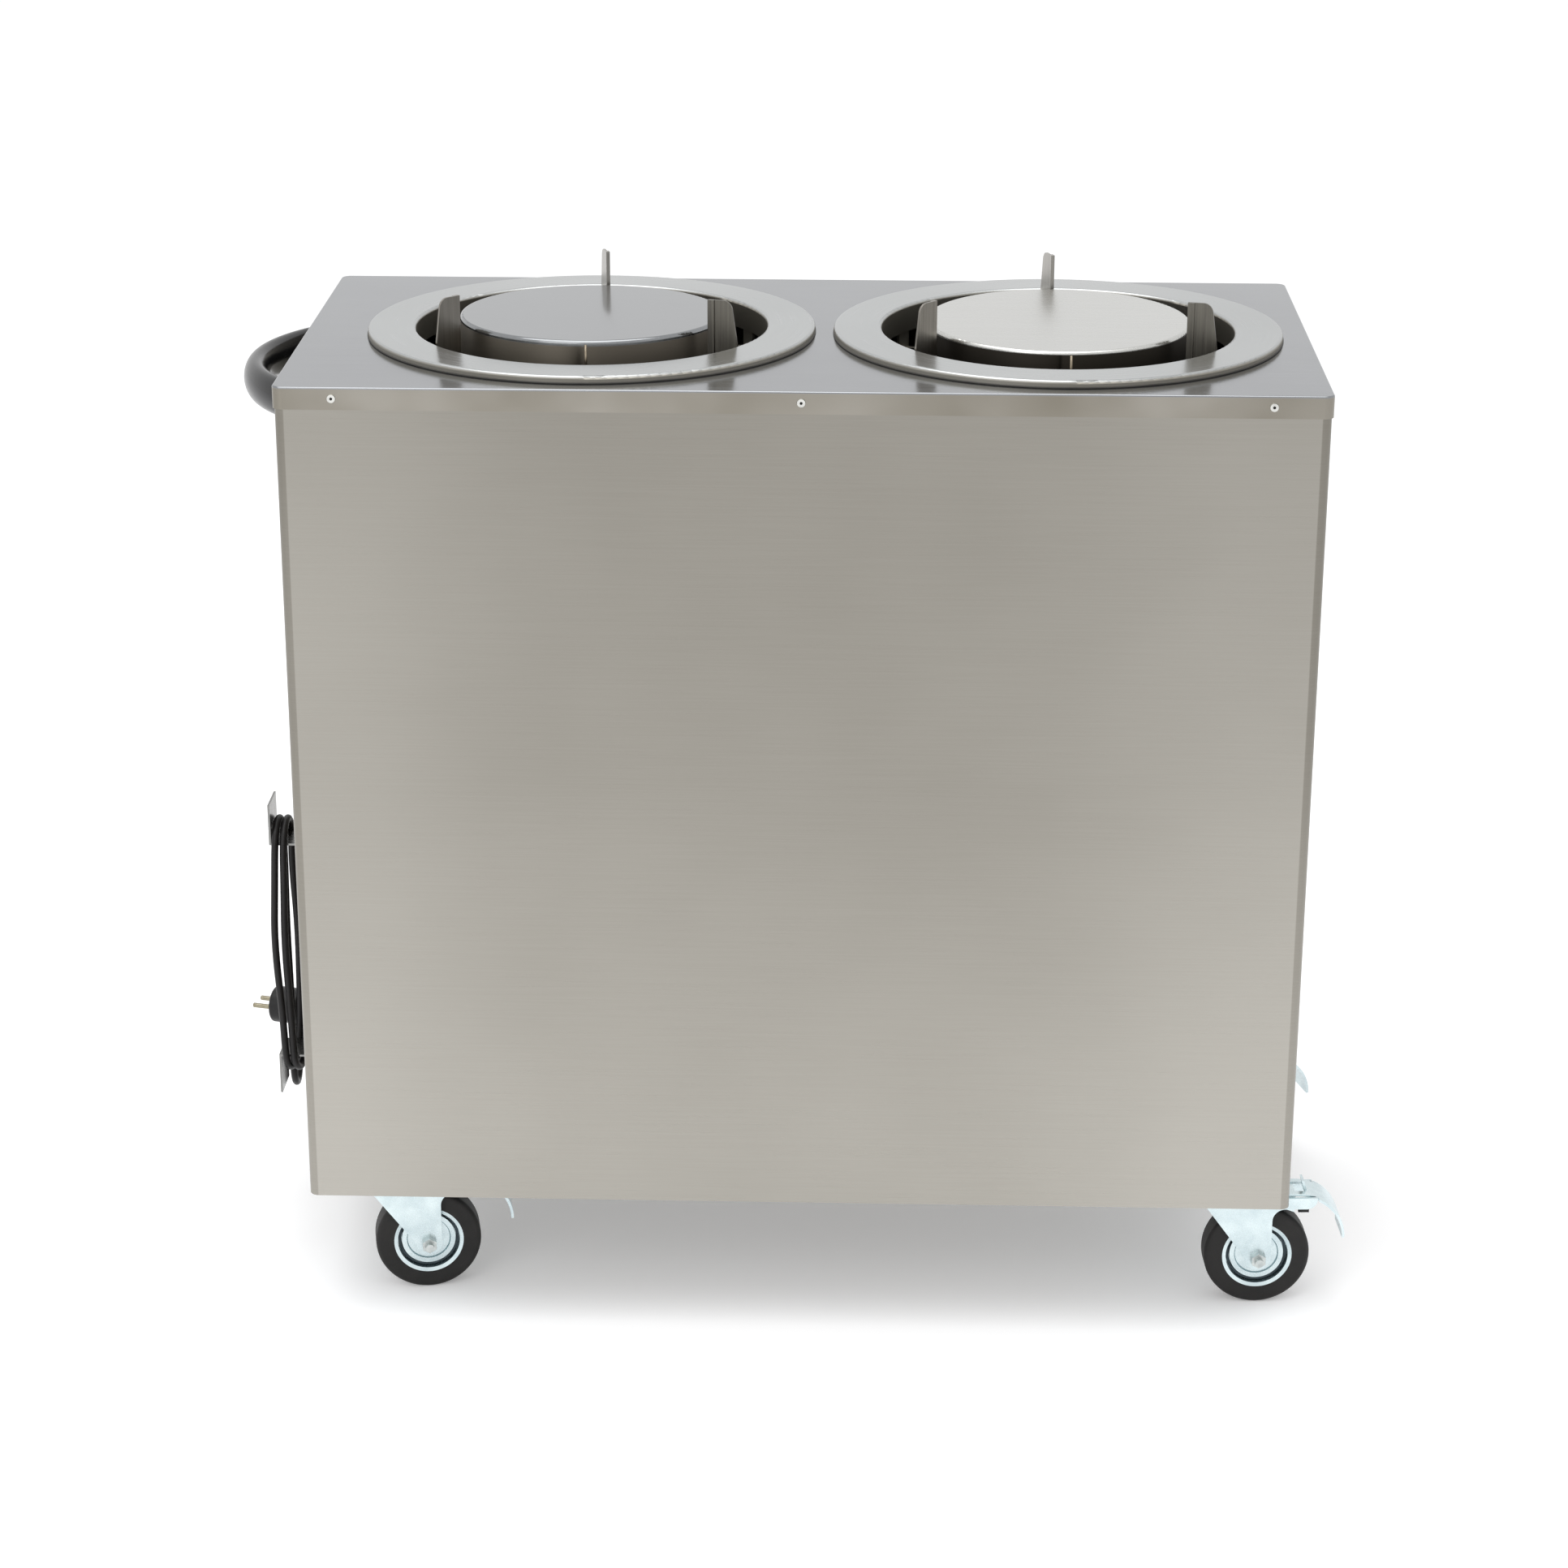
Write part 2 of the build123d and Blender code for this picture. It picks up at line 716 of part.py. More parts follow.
with BuildPart() as heating_elements:
    for side in wells:
        heater_z = cage_top + heater_height
        half_gap = heater_gap_angle / 2
        with BuildLine():
            loop = CenterArc(
                (wells[side], 0, heater_z),
                heater_circle_radius,
                heater_gap_middle + half_gap,
                360 - heater_gap_angle,
            )
        with BuildSketch(Plane(origin=loop @ 0, z_dir=loop % 0)):
            Circle(heater_tube)
        sweep(path=loop)
        with BuildSketch(well_plane(side, heater_z)):
            for end_angle in (heater_gap_middle - half_gap, heater_gap_middle + half_gap):
                with PolarLocations(heater_circle_radius, 1, end_angle):
                    Circle(heater_tube)
        extrude(amount=-heater_height)
        block_width = 2 * (heater_circle_radius * sin(radians(half_gap)) + heater_block_margin)
        with BuildSketch(well_plane(side, cage_top)):
            with Locations((0, -heater_circle_radius * cos(radians(half_gap)))):
                Rectangle(block_width, heater_block_deep)
        extrude(amount=heater_block_high)
save(heating_elements, "heating_elements")

# ---------------------------------------------------------------- push handle

bow_rise = handle_projection - grip_thick / 2
bow_radius = (handle_foot_y**2 + bow_rise**2) / (2 * bow_rise)
bow_centre = (-body_half_x - bow_rise + bow_radius, 0, handle_z)
# half angle of the bow, a little more than reaches the panel, which trims it
bow_half_angle = degrees(asin(handle_foot_y / bow_radius) + grip_thick / bow_radius)
bow_start = 180 - bow_half_angle

with BuildPart() as push_handle:
    with BuildLine():
        bow = CenterArc(bow_centre, bow_radius, bow_start, 2 * bow_half_angle)
    with BuildSketch(
        Plane(
            origin=bow @ 0, x_dir=(cos(radians(bow_start)), sin(radians(bow_start)), 0), z_dir=bow % 0
        )
    ):
        Ellipse(grip_thick / 2, grip_high / 2)
    sweep(path=bow)
    split(bisect_by=end_plane(), keep=Keep.TOP)
    with BuildSketch(end_plane()):
        with Locations(*handle_screw_spots):
            Circle(handle_screw_radius + fixed_clearance)
    extrude(amount=handle_screw_depth + loose_clearance, mode=Mode.SUBTRACT)
save(push_handle, "push_handle")

with BuildPart() as handle_screws:
    with BuildSketch(end_plane(-panel_sheet)):
        with Locations(*handle_screw_spots):
            Circle(handle_screw_radius)
    extrude(amount=handle_screw_depth + panel_sheet)
    with BuildSketch(end_plane(-panel_sheet)):
        with Locations(*handle_screw_spots):
            Circle(screw_head_radius)
    extrude(amount=-screw_head_height)
save(handle_screws, "handle_screws")

# ---------------------------------------------------------------- cord hooks


def make_hook(arm_face, up):
    """Z-shaped hook: foot on the panel, arm, and a blade that ends away from the foot.

    arm_face is the height of the arm's face that carries the cord; up is 1 for the
    upper hook and -1 for the lower one.
    """
    side_view = Plane(origin=(0, -hook_width / 2, 0), x_dir=(1, 0, 0), z_dir=(0, -1, 0))
    panel_x = -body_half_x
    blade_x = -body_half_x - hook_reach
    under = arm_face - up * hook_sheet
    with BuildPart() as hook:
        with BuildSketch(side_view) as profile:
            with BuildLine():
                Polyline(
                    (panel_x, under - up * hook_foot_length),
                    (panel_x, arm_face),
                    (blade_x + hook_sheet, arm_face),
                    (blade_x + hook_sheet, arm_face + up * hook_blade_length),
                    (blade_x, arm_face + up * hook_blade_length),
                    (blade_x, under),
                    (panel_x - hook_sheet, under),
                    (panel_x - hook_sheet, under - up * hook_foot_length),
                    close=True,
                )
            make_face()
        extrude(amount=-hook_width)
        with BuildSketch(end_plane()):
            with Locations(*hook_rivet_spots):
                Circle(rivet_shank_radius + fixed_clearance)
        extrude(amount=hook_sheet, mode=Mode.SUBTRACT)
    return hook


with BuildPart() as cord_hooks:
    add(make_hook(upper_arm_top, 1).part)
    add(make_hook(lower_arm_bottom, -1).part)
save(cord_hooks, "cord_hooks")

# ---------------------------------------------------------------- mains cord

cord_radius = cord_diameter / 2
turn_radius = hypot(hook_width / 2, turn_centre_drop) + cord_radius + cord_edge_gap
upper_centre_z = upper_arm_top - turn_centre_drop
lower_centre_z = lower_arm_bottom + turn_centre_drop
winding_start = Vector(lane_start_x, turn_radius, lower_centre_z + winding_lead)


def cord_tube(points, name):
    """Tube along straight runs joined by tangent arcs; prints its radii and volume."""
    corners = [Vector(*p) for p in points]
    radii = []
    for before, here, after in zip(corners, corners[1:], corners[2:]):
        turn = (here - before).get_angle(after - here)
        shorter = min((here - before).length, (after - here).length)
        radii.append(bend_share * shorter / tan(radians(turn / 2)))
    with BuildPart() as tube:
        with BuildLine() as route:
            FilletPolyline(*corners, radius=radii)
        with BuildSketch(Plane(origin=corners[0], z_dir=corners[1] - corners[0])):
            Circle(cord_radius)
        sweep(path=route.wire())
    length = route.wire().length
    print(name, "radii", [round(r, 1) for r in radii], "length", round(length, 1))
    print(name, "volume ratio", round(tube.part.volume / (pi * cord_radius**2 * length), 4))
    save(tube, name)
    return length


lead_points = [
    (-body_half_x - gland_reach, gland_y, gland_z - gland_spout_length),
    (-body_half_x - gland_reach, gland_y, gland_z - gland_spout_length - lead_drop),
    (-476.0, 52.5, 263.0),
    (-484.5, 38.0, 241.0),
    (lane_start_x, turn_radius, 219.0),
    (winding_start.X, winding_start.Y, winding_start.Z),
]
lead_length = cord_tube(lead_points, "cord_lead")

with BuildPart() as cord_winding:
    with BuildLine() as winding_route:
        here = winding_start
        for turn_number in range(winding_turns):
            low_far = Vector(here.X, turn_radius, lower_centre_z)
            Line(here, low_far)
            low_near = Vector(here.X - cord_pitch, -turn_radius, lower_centre_z)
            low_mid = (low_far + low_near) / 2
            ThreePointArc(
                low_far, low_mid - Vector(0, 0, (low_far - low_near).length / 2), low_near
            )
            high_near = Vector(low_near.X, -turn_radius, upper_centre_z)
            Line(low_near, high_near)
            high_far = Vector(low_near.X, turn_radius, upper_centre_z)
            ThreePointArc(
                high_near, Vector(low_near.X, 0, upper_centre_z + turn_radius), high_far
            )
            here = high_far
        winding_end = Vector(here.X, turn_radius, winding_tail_z)
        Line(here, winding_end)
    with BuildSketch(Plane(origin=winding_start, z_dir=(0, 0, -1))):
        Circle(cord_radius)
    sweep(path=winding_route.wire())
winding_length = winding_route.wire().length
samples = [winding_route.wire() @ (i / winding_samples) for i in range(winding_samples + 1)]
apart = int(winding_samples * 4 * cord_diameter / winding_length) + 1
least_gap = min(
    (here - there).length for i, here in enumerate(samples) for there in samples[i + apart :]
) - cord_diameter
print("cord_winding least gap to itself", round(least_gap, 2), "length", round(winding_length, 1))
winding_ratio = cord_winding.part.volume / (pi * cord_radius**2 * winding_length)
print("cord_winding volume ratio", round(winding_ratio, 4))
save(cord_winding, "cord_winding")

tail_points = [
    (winding_end.X, winding_end.Y, winding_end.Z),
    (winding_end.X, winding_end.Y, 190.0),
    (winding_end.X - 1.0, winding_end.Y + 1.5, 162.0),
    (winding_end.X - 0.5, winding_end.Y, 133.0),
    (-506.5, 48.5, 118.0),
    (plug_mouth.X, plug_mouth.Y, 132.0),
    (plug_mouth.X, plug_mouth.Y, plug_mouth.Z),
]
tail_length = cord_tube(tail_points, "cord_tail")
print("whole cord length", round(lead_length + winding_length + tail_length, 1))

with BuildPart() as cord_gland:
    with BuildSketch(end_plane()):
        with Locations((-gland_y, gland_z)):
            RegularPolygon(gland_nut_width / 2, 6, major_radius=False)
    extrude(amount=gland_nut_thick)
    with BuildSketch(end_plane()):
        with Locations((-gland_y, gland_z)):
            Circle(gland_arm_radius)
    extrude(amount=gland_reach)
    with BuildSketch(end_plane(gland_reach)):
        with Locations((-gland_y, gland_z)):
            Circle(gland_arm_radius)
    extrude(amount=gland_arm_radius, taper=gland_back_taper)
    spout_centre = (-body_half_x - gland_reach, gland_y, gland_z)
    with BuildSketch(Plane(origin=spout_centre, z_dir=(0, 0, -1))):
        Circle(gland_spout_radius)
    extrude(amount=gland_spout_length)
    with BuildSketch(Plane(origin=spout_centre, z_dir=(0, 0, -1)).offset(gland_cap_start)):
        RegularPolygon(gland_cap_radius, 6, major_radius=False)
    extrude(amount=gland_cap_high)
    with BuildSketch(end_plane()):
        with Locations((-gland_y, gland_z)):
            Circle(gland_thread_radius)
    extrude(amount=-gland_thread_length)
    with BuildSketch(end_plane(-panel_sheet)):
        with Locations((-gland_y, gland_z)):
            RegularPolygon(gland_nut_width / 2, 6, major_radius=False)
    extrude(amount=-gland_nut_thick)
save(cord_gland, "cord_gland")

# ---------------------------------------------------------------- plug

plug_out = Vector(-cos(radians(plug_yaw)), sin(radians(plug_yaw)), 0)
plug_side = Vector(sin(radians(plug_yaw)), cos(radians(plug_yaw)), 0)
plug_face_centre = (
    Vector(plug_mouth.X, plug_mouth.Y, plug_centre_z) + plug_out * plug_setback_length
)
plug_face = Plane(origin=plug_face_centre, x_dir=plug_side, z_dir=plug_out)
pin_spots = [(-pin_spacing / 2, 0), (pin_spacing / 2, 0)]

with BuildPart() as plug_body:
    with BuildSketch(plug_face):
        Circle(plug_radius)
    extrude(amount=-plug_depth)
    fillet(plug_body.edges().filter_by(GeomType.CIRCLE), plug_edge)
    relief_top = Plane(origin=(plug_mouth.X, plug_mouth.Y, plug_centre_z - relief_root_drop))
    with BuildSketch(relief_top):
        Circle(relief_root_radius)
    with BuildSketch(Plane(origin=plug_mouth)):
        Circle(relief_mouth_radius)
    loft()
    with BuildSketch(plug_face):
        with Locations(*pin_spots):
            Circle(pin_radius + fixed_clearance)
    extrude(amount=-pin_root_length, mode=Mode.SUBTRACT)
save(plug_body, "plug_body")

with BuildPart() as plug_pins:
    with BuildSketch(plug_face.offset(-pin_root_length)):
        with Locations(*pin_spots):
            Circle(pin_radius)
    extrude(amount=pin_root_length + pin_length)
    tips = plug_pins.edges().filter_by(GeomType.CIRCLE).sort_by(Axis(plug_face_centre, plug_out))
    fillet(tips[-2:], pin_tip)
save(plug_pins, "plug_pins")

# ---------------------------------------------------------------- controls

knob_spot = (-knob_y, control_z)
switch_spot = (-switch_y, control_z)

with BuildPart() as thermostat_body:
    with BuildSketch(end_plane(-panel_sheet)):
        with Locations(knob_spot):
            RectangleRounded(thermostat_width, thermostat_width, thermostat_corner)
    extrude(amount=-thermostat_depth)
    with BuildSketch(end_plane(-panel_sheet)):
        with Locations(knob_spot):
            Circle(bushing_radius)
    extrude(amount=panel_sheet + bushing_reach)
    with BuildSketch(end_plane(bushing_reach)):
        with Locations(knob_spot):
            Circle(spindle_radius + running_clearance)
    extrude(amount=-bushing_reach - panel_sheet - thermostat_depth / 2, mode=Mode.SUBTRACT)
save(thermostat_body, "thermostat_body")

knob_base = bushing_reach + loose_clearance
with BuildPart() as thermostat_knob:
    with BuildSketch(end_plane(knob_base)):
        with Locations(knob_spot):
            Circle(knob_radius)
    extrude(amount=knob_height, taper=knob_taper)
    fillet(thermostat_knob.edges().group_by(Axis.X)[0], knob_edge)
    with BuildSketch(end_plane(knob_base + knob_height)):
        with Locations((knob_spot[0], knob_spot[1] + knob_mark_radius)):
            Rectangle(knob_mark_wide, knob_mark_long)
    extrude(amount=-knob_mark_deep, mode=Mode.SUBTRACT)
    with BuildSketch(end_plane(knob_base)):
        with Locations(knob_spot):
            Circle(spindle_radius)
    extrude(amount=-knob_base - panel_sheet - thermostat_depth / 2 + loose_clearance)
save(thermostat_knob, "thermostat_knob")

with BuildPart() as switch_housing:
    with BuildSketch(end_plane()):
        with Locations(switch_spot):
            RectangleRounded(switch_frame_wide, switch_frame_high, switch_frame_corner)
    extrude(amount=switch_frame_thick)
    with BuildSketch(end_plane()):
        with Locations(switch_spot):
            Rectangle(switch_body_wide - 2 * fixed_clearance, switch_body_high - 2 * fixed_clearance)
    extrude(amount=-switch_depth)
    with BuildSketch(end_plane(switch_frame_thick)):
        with Locations(switch_spot):
            Rectangle(rocker_wide + 2 * loose_clearance, rocker_slot_high)
    extrude(amount=-switch_frame_thick - rocker_thick, mode=Mode.SUBTRACT)
save(switch_housing, "switch_housing")

rocker_plane = Plane(
    origin=(-body_half_x, switch_y, control_z),
    x_dir=(0, -1, 0),
    z_dir=(-cos(radians(rocker_tilt)), 0, sin(radians(rocker_tilt))),
)
with BuildPart() as switch_rocker:
    with BuildSketch(rocker_plane.offset(rocker_thick / 2)):
        Rectangle(rocker_wide, rocker_high)
    extrude(amount=-rocker_thick)
    fillet(switch_rocker.edges().filter_by(Axis.Y), rocker_edge)
save(switch_rocker, "switch_rocker")

# ---------------------------------------------------------------- casters

with BuildPart() as caster_plates:
    for spot in casters.values():
        with BuildSketch(Plane.XY.offset(plate_bottom)):
            with Locations(spot):
                RectangleRounded(plate_length, plate_width, plate_corner)
                with GridLocations(bolt_grid_x, bolt_grid_y, 2, 2):
                    Circle(bolt_radius + fixed_clearance, mode=Mode.SUBTRACT)
        extrude(amount=plate_sheet)
        with BuildSketch(Plane.XY.offset(plate_bottom)):
            with Locations(spot):
                Circle(race_radius)
        extrude(amount=-race_high, taper=race_taper)
save(caster_plates, "caster_plates")

with BuildPart() as caster_bolts:
    for spot in casters.values():
        for low, high, is_hex in (
            (plate_bottom - bolt_head_height, plate_bottom, True),
            (plate_bottom, base_top + nut_high + thread_past_nut, False),
            (base_top, base_top + nut_high, True),
        ):
            with BuildSketch(Plane.XY.offset(low)):
                with Locations(spot):
                    with GridLocations(bolt_grid_x, bolt_grid_y, 2, 2):
                        if is_hex:
                            RegularPolygon(bolt_hex_width / 2, 6, major_radius=False)
                        else:
                            Circle(bolt_radius)
            extrude(amount=high - low)
save(caster_bolts, "caster_bolts")


def make_fork(spot):
    """Swivel head and fork of one caster, with holes for the axle and the pedal pin."""
    swivel_x, swivel_y = spot
    axle_x = swivel_x + trail_length
    near_side_y = swivel_y - fork_inside_width / 2 - fork_sheet
    side_view = Plane(origin=(axle_x, near_side_y, 0), x_dir=(1, 0, 0), z_dir=(0, -1, 0))
    bridge_end = pedal_pivot_x - knuckle_half - bridge_gap
    full_width = fork_inside_width + 2 * fork_sheet
    with BuildPart() as fork:
        with BuildSketch(side_view) as cheek:
            with BuildLine():
                Polyline(
                    (-fork_tip, axle_z),
                    (-fork_front_reach, fork_top_z),
                    (fork_arm_reach, fork_top_z),
                    (fork_arm_reach, fork_arm_low_z),
                    (fork_tip, fork_arm_low_z),
                    (fork_tip, axle_z),
                    close=True,
                )
            make_face()
            for corner, radius in (
                ((fork_arm_reach, fork_arm_low_z), fork_heel_radius),
                ((fork_tip, fork_arm_low_z), fork_throat_radius),
            ):
                fillet(cheek.vertices().sort_by_distance(corner)[0], radius)
            with Locations((0, axle_z)):
                Circle(fork_tip)
            with Locations((0, axle_z)):
                Circle(axle_radius + fixed_clearance, mode=Mode.SUBTRACT)
            with Locations((pedal_pivot_x, pedal_pivot_z)):
                Circle(pedal_pin_radius + running_clearance, mode=Mode.SUBTRACT)
        extrude(amount=-full_width)
        with BuildSketch(Plane(origin=(axle_x, swivel_y, 0))):
            Rectangle(4 * wheel_radius, fork_inside_width)
        extrude(amount=fork_top_z - fork_sheet, mode=Mode.SUBTRACT)
        with BuildSketch(Plane(origin=(axle_x, swivel_y, fork_top_z))):
            with Locations(((bridge_end + fork_arm_reach + cut_margin) / 2, 0)):
                Rectangle(fork_arm_reach + cut_margin - bridge_end, fork_inside_width)
        extrude(amount=-fork_sheet, mode=Mode.SUBTRACT)
        with BuildSketch(Plane(origin=(swivel_x, swivel_y, fork_top_z))):
            Circle(head_radius)
        extrude(amount=head_top - fork_top_z)
    return fork


def make_tyre(spot):
    """Solid rubber tyre of one caster."""
    axle_x = spot[0] + trail_length
    with BuildPart() as tyre:
        with BuildSketch(Plane(origin=(axle_x, spot[1] + wheel_width / 2, axle_z), z_dir=(0, -1, 0))):
            Circle(wheel_radius)
        extrude(amount=wheel_width)
        fillet(tyre.edges().filter_by(GeomType.CIRCLE), tyre_shoulder)
        with BuildSketch(Plane(origin=(axle_x, spot[1] + wheel_width / 2, axle_z), z_dir=(0, -1, 0))):
            Circle(rim_radius)
        extrude(amount=wheel_width, mode=Mode.SUBTRACT)
    return tyre


def make_rim(spot):
    """Pressed rim with its web and the hub that turns on the axle."""
    axle_x = spot[0] + trail_length
    half = wheel_width / 2
    section = Plane(origin=(axle_x, spot[1], axle_z), x_dir=(0, 0, 1), z_dir=(1, 0, 0))
    half_profile = [
        (axle_radius + running_clearance, hub_width / 2),
        (hub_radius, hub_width / 2),
        (hub_radius, web_half),
        (disc_step_radius, web_half),
        (disc_step_radius + disc_step_run, disc_half),
        (disc_radius, disc_half),
        (disc_radius, groove_floor),
        (groove_radius, groove_floor),
        (groove_radius, half - rim_bevel),
        (rim_radius, half),
    ]
    other_half = [(radius, -across) for radius, across in reversed(half_profile)]
    with BuildPart() as rim:
        with BuildSketch(section):
            with BuildLine():
                Polyline(*half_profile, *other_half, close=True)
            make_face()
        revolve(axis=Axis((axle_x, spot[1], axle_z), (0, 1, 0)))
    return rim


def make_axle(spot):
    """Axle bolt of one caster with its head and nut outside the fork."""
    outside = fork_inside_width / 2 + fork_sheet
    front = Plane(origin=(spot[0] + trail_length, spot[1] - outside, axle_z), z_dir=(0, -1, 0))
    back = Plane(origin=(spot[0] + trail_length, spot[1] + outside, axle_z), z_dir=(0, 1, 0))
    with BuildPart() as axle:
        with BuildSketch(front):
            RegularPolygon(bolt_hex_width / 2, 6, major_radius=False)
        extrude(amount=nut_high)
        with BuildSketch(front.offset(nut_high + axle_past_nut)):
            Circle(axle_radius)
        extrude(amount=-axle_past_nut - nut_high - 2 * outside)
        with BuildSketch(back):
            RegularPolygon(bolt_hex_width / 2, 6, major_radius=False)
        extrude(amount=bolt_head_height)
    return axle


def make_pedal(spot):
    """Brake pedal: rounded tread on a cross pin, with its release tab and brake pad."""
    axle_x = spot[0] + trail_length
    side_view = Plane(origin=(axle_x, spot[1], 0), x_dir=(1, 0, 0), z_dir=(0, -1, 0))
    top_z = fork_top_z + loose_clearance + pedal_sheet
    under_z = top_z - pedal_sheet
    knuckle_front = pedal_pivot_x - knuckle_half
    knuckle_back = pedal_pivot_x + knuckle_half
    knuckle_low = pedal_pivot_z - knuckle_drop
    tip_x = tread_bend_x + tread_radius
    tip_z = top_z - tread_radius
    inner_radius = tread_radius - pedal_sheet
    tab_root_z = top_z - release_tab_root
    with BuildPart() as pedal:
        with BuildSketch(side_view.offset(-tread_width / 2)):
            with BuildLine():
                Line((tread_bend_x, under_z), (tread_bend_x, top_z))
                RadiusArc((tread_bend_x, top_z), (tip_x, tip_z), tread_radius)
                Line((tip_x, tip_z), (tip_x - pedal_sheet, tip_z))
                RadiusArc((tip_x - pedal_sheet, tip_z), (tread_bend_x, under_z), -inner_radius)
            make_face()
        extrude(amount=tread_width)
        for cut_from in (-tread_width / 2, pedal_width / 2):
            with BuildSketch(side_view.offset(cut_from)):
                with Locations((tread_start_x, top_z)):
                    Rectangle(tread_radius, 2 * tread_radius, align=(Align.MAX, Align.CENTER))
            extrude(amount=(tread_width - pedal_width) / 2, mode=Mode.SUBTRACT)
        with BuildSketch(side_view.offset(-pedal_width / 2)):
            with BuildLine():
                Polyline(
                    (knuckle_front, knuckle_low),
                    (knuckle_front, top_z - knuckle_bevel),
                    (knuckle_front + knuckle_bevel, top_z),
                    (tread_bend_x, top_z),
                    (tread_bend_x, under_z),
                    (knuckle_back, under_z),
                    (knuckle_back, knuckle_low),
                    close=True,
                )
            make_face()
        extrude(amount=pedal_width)
        with BuildSketch(Plane(origin=(axle_x, spot[1], tip_z))):
            with Locations(((pedal_window_start + release_tab_x) / 2, 0)):
                Rectangle(release_tab_x - pedal_window_start, pedal_window_width)
        extrude(amount=tread_radius, mode=Mode.SUBTRACT)
        with BuildSketch(side_view.offset(-fork_inside_width / 2 - fork_sheet)):
            with Locations((pedal_pivot_x, pedal_pivot_z)):
                Circle(pedal_pin_radius)
        extrude(amount=fork_inside_width + 2 * fork_sheet)
        with BuildSketch(side_view.offset(-release_tab_width / 2)):
            with BuildLine():
                Polyline(
                    (release_tab_x, tab_root_z),
                    (release_tab_x + pedal_sheet, tab_root_z),
                    (release_tab_x + pedal_sheet - release_tab_lean, release_tab_top),
                    (release_tab_x - release_tab_lean, release_tab_top),
                    close=True,
                )
            make_face()
        extrude(amount=release_tab_width)
        with BuildSketch(side_view.offset(-brake_pad_width / 2)):
            with BuildLine():
                Polyline(
                    (brake_pad_front_x, brake_pad_front_z),
                    (brake_pad_back_x, brake_pad_back_z),
                    (brake_pad_back_x, under_z + pedal_sheet / 2),
                    (brake_pad_front_x, under_z + pedal_sheet / 2),
                    close=True,
                )
            make_face()
        extrude(amount=brake_pad_width)
    return pedal


for place, spot in casters.items():
    swivel = Axis((*spot, 0), (0, 0, 1))
    for make_piece, name in (
        (make_fork, "caster_fork"),
        (make_tyre, "wheel_tyre"),
        (make_rim, "wheel_rim"),
        (make_axle, "wheel_axle"),
        (make_pedal, "brake_pedal"),
    ):
        with BuildPart() as turned:
            add(make_piece(spot).part.rotate(swivel, caster_turns[place]))
        save(turned, f"{name}_{place}")
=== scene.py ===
"""Looks of a twin heated plate dispenser cart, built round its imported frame.

Metres, +Z up, X along the cart with the push handle at -X, the floor at Z = 0.
"""

import json
import logging
from dataclasses import dataclass
from enum import Enum
from math import cos, pi, radians, sin
from typing import Any

import bpy
from mathutils import Matrix, Vector

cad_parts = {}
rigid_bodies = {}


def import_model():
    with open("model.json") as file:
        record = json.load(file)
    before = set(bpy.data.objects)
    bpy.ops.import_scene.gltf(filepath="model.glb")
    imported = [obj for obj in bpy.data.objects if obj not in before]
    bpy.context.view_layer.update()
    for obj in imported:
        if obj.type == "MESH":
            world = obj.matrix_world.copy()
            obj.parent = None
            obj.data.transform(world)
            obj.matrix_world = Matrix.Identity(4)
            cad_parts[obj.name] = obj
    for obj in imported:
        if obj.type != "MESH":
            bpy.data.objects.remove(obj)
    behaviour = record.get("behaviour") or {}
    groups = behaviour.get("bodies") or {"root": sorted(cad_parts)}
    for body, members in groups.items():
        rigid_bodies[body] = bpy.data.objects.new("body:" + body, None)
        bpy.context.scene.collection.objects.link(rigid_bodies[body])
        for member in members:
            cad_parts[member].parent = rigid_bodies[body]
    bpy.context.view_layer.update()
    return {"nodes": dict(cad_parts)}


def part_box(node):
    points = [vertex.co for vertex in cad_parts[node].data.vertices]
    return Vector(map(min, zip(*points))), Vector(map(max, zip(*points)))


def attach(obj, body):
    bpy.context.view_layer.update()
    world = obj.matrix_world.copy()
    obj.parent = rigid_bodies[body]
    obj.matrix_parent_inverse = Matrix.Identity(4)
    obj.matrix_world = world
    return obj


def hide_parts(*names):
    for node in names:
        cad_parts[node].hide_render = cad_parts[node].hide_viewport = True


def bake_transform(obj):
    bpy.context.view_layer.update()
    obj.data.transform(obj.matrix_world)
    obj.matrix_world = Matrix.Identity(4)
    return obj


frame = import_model()

MM = 0.001  # metres
log = logging.getLogger("cart")

WELLS = {"left": -0.196, "right": 0.228}
CASTERS = {
    "front_left": (-0.394, -0.148),
    "front_right": (0.394, -0.148),
    "back_left": (-0.394, 0.148),
    "back_right": (0.394, 0.148),
}
# Degrees that each caster has swivelled from straight ahead.
CASTER_TURNS = {"front_left": 10.0, "front_right": 3.0, "back_left": 6.0, "back_right": 16.0}
TRAIL = 0.039  # from a caster's swivel to its axle


# ---------------------------------------------------------------- helpers


def linear(colour: str) -> tuple[float, float, float, float]:
    """Turn an sRGB hex colour into Blender's linear one.

    Args:
        colour: Six hex digits, such as "c8c8c8".

    Returns:
        Linear red, green and blue, with an alpha of 1.
    """

    def channel(part: str) -> float:
        """Linear value of two hex digits."""
        value = int(part, 16) / 255
        return value / 12.92 if value <= 0.04045 else ((value + 0.055) / 1.055) ** 2.4

    return (channel(colour[0:2]), channel(colour[2:4]), channel(colour[4:6]), 1.0)


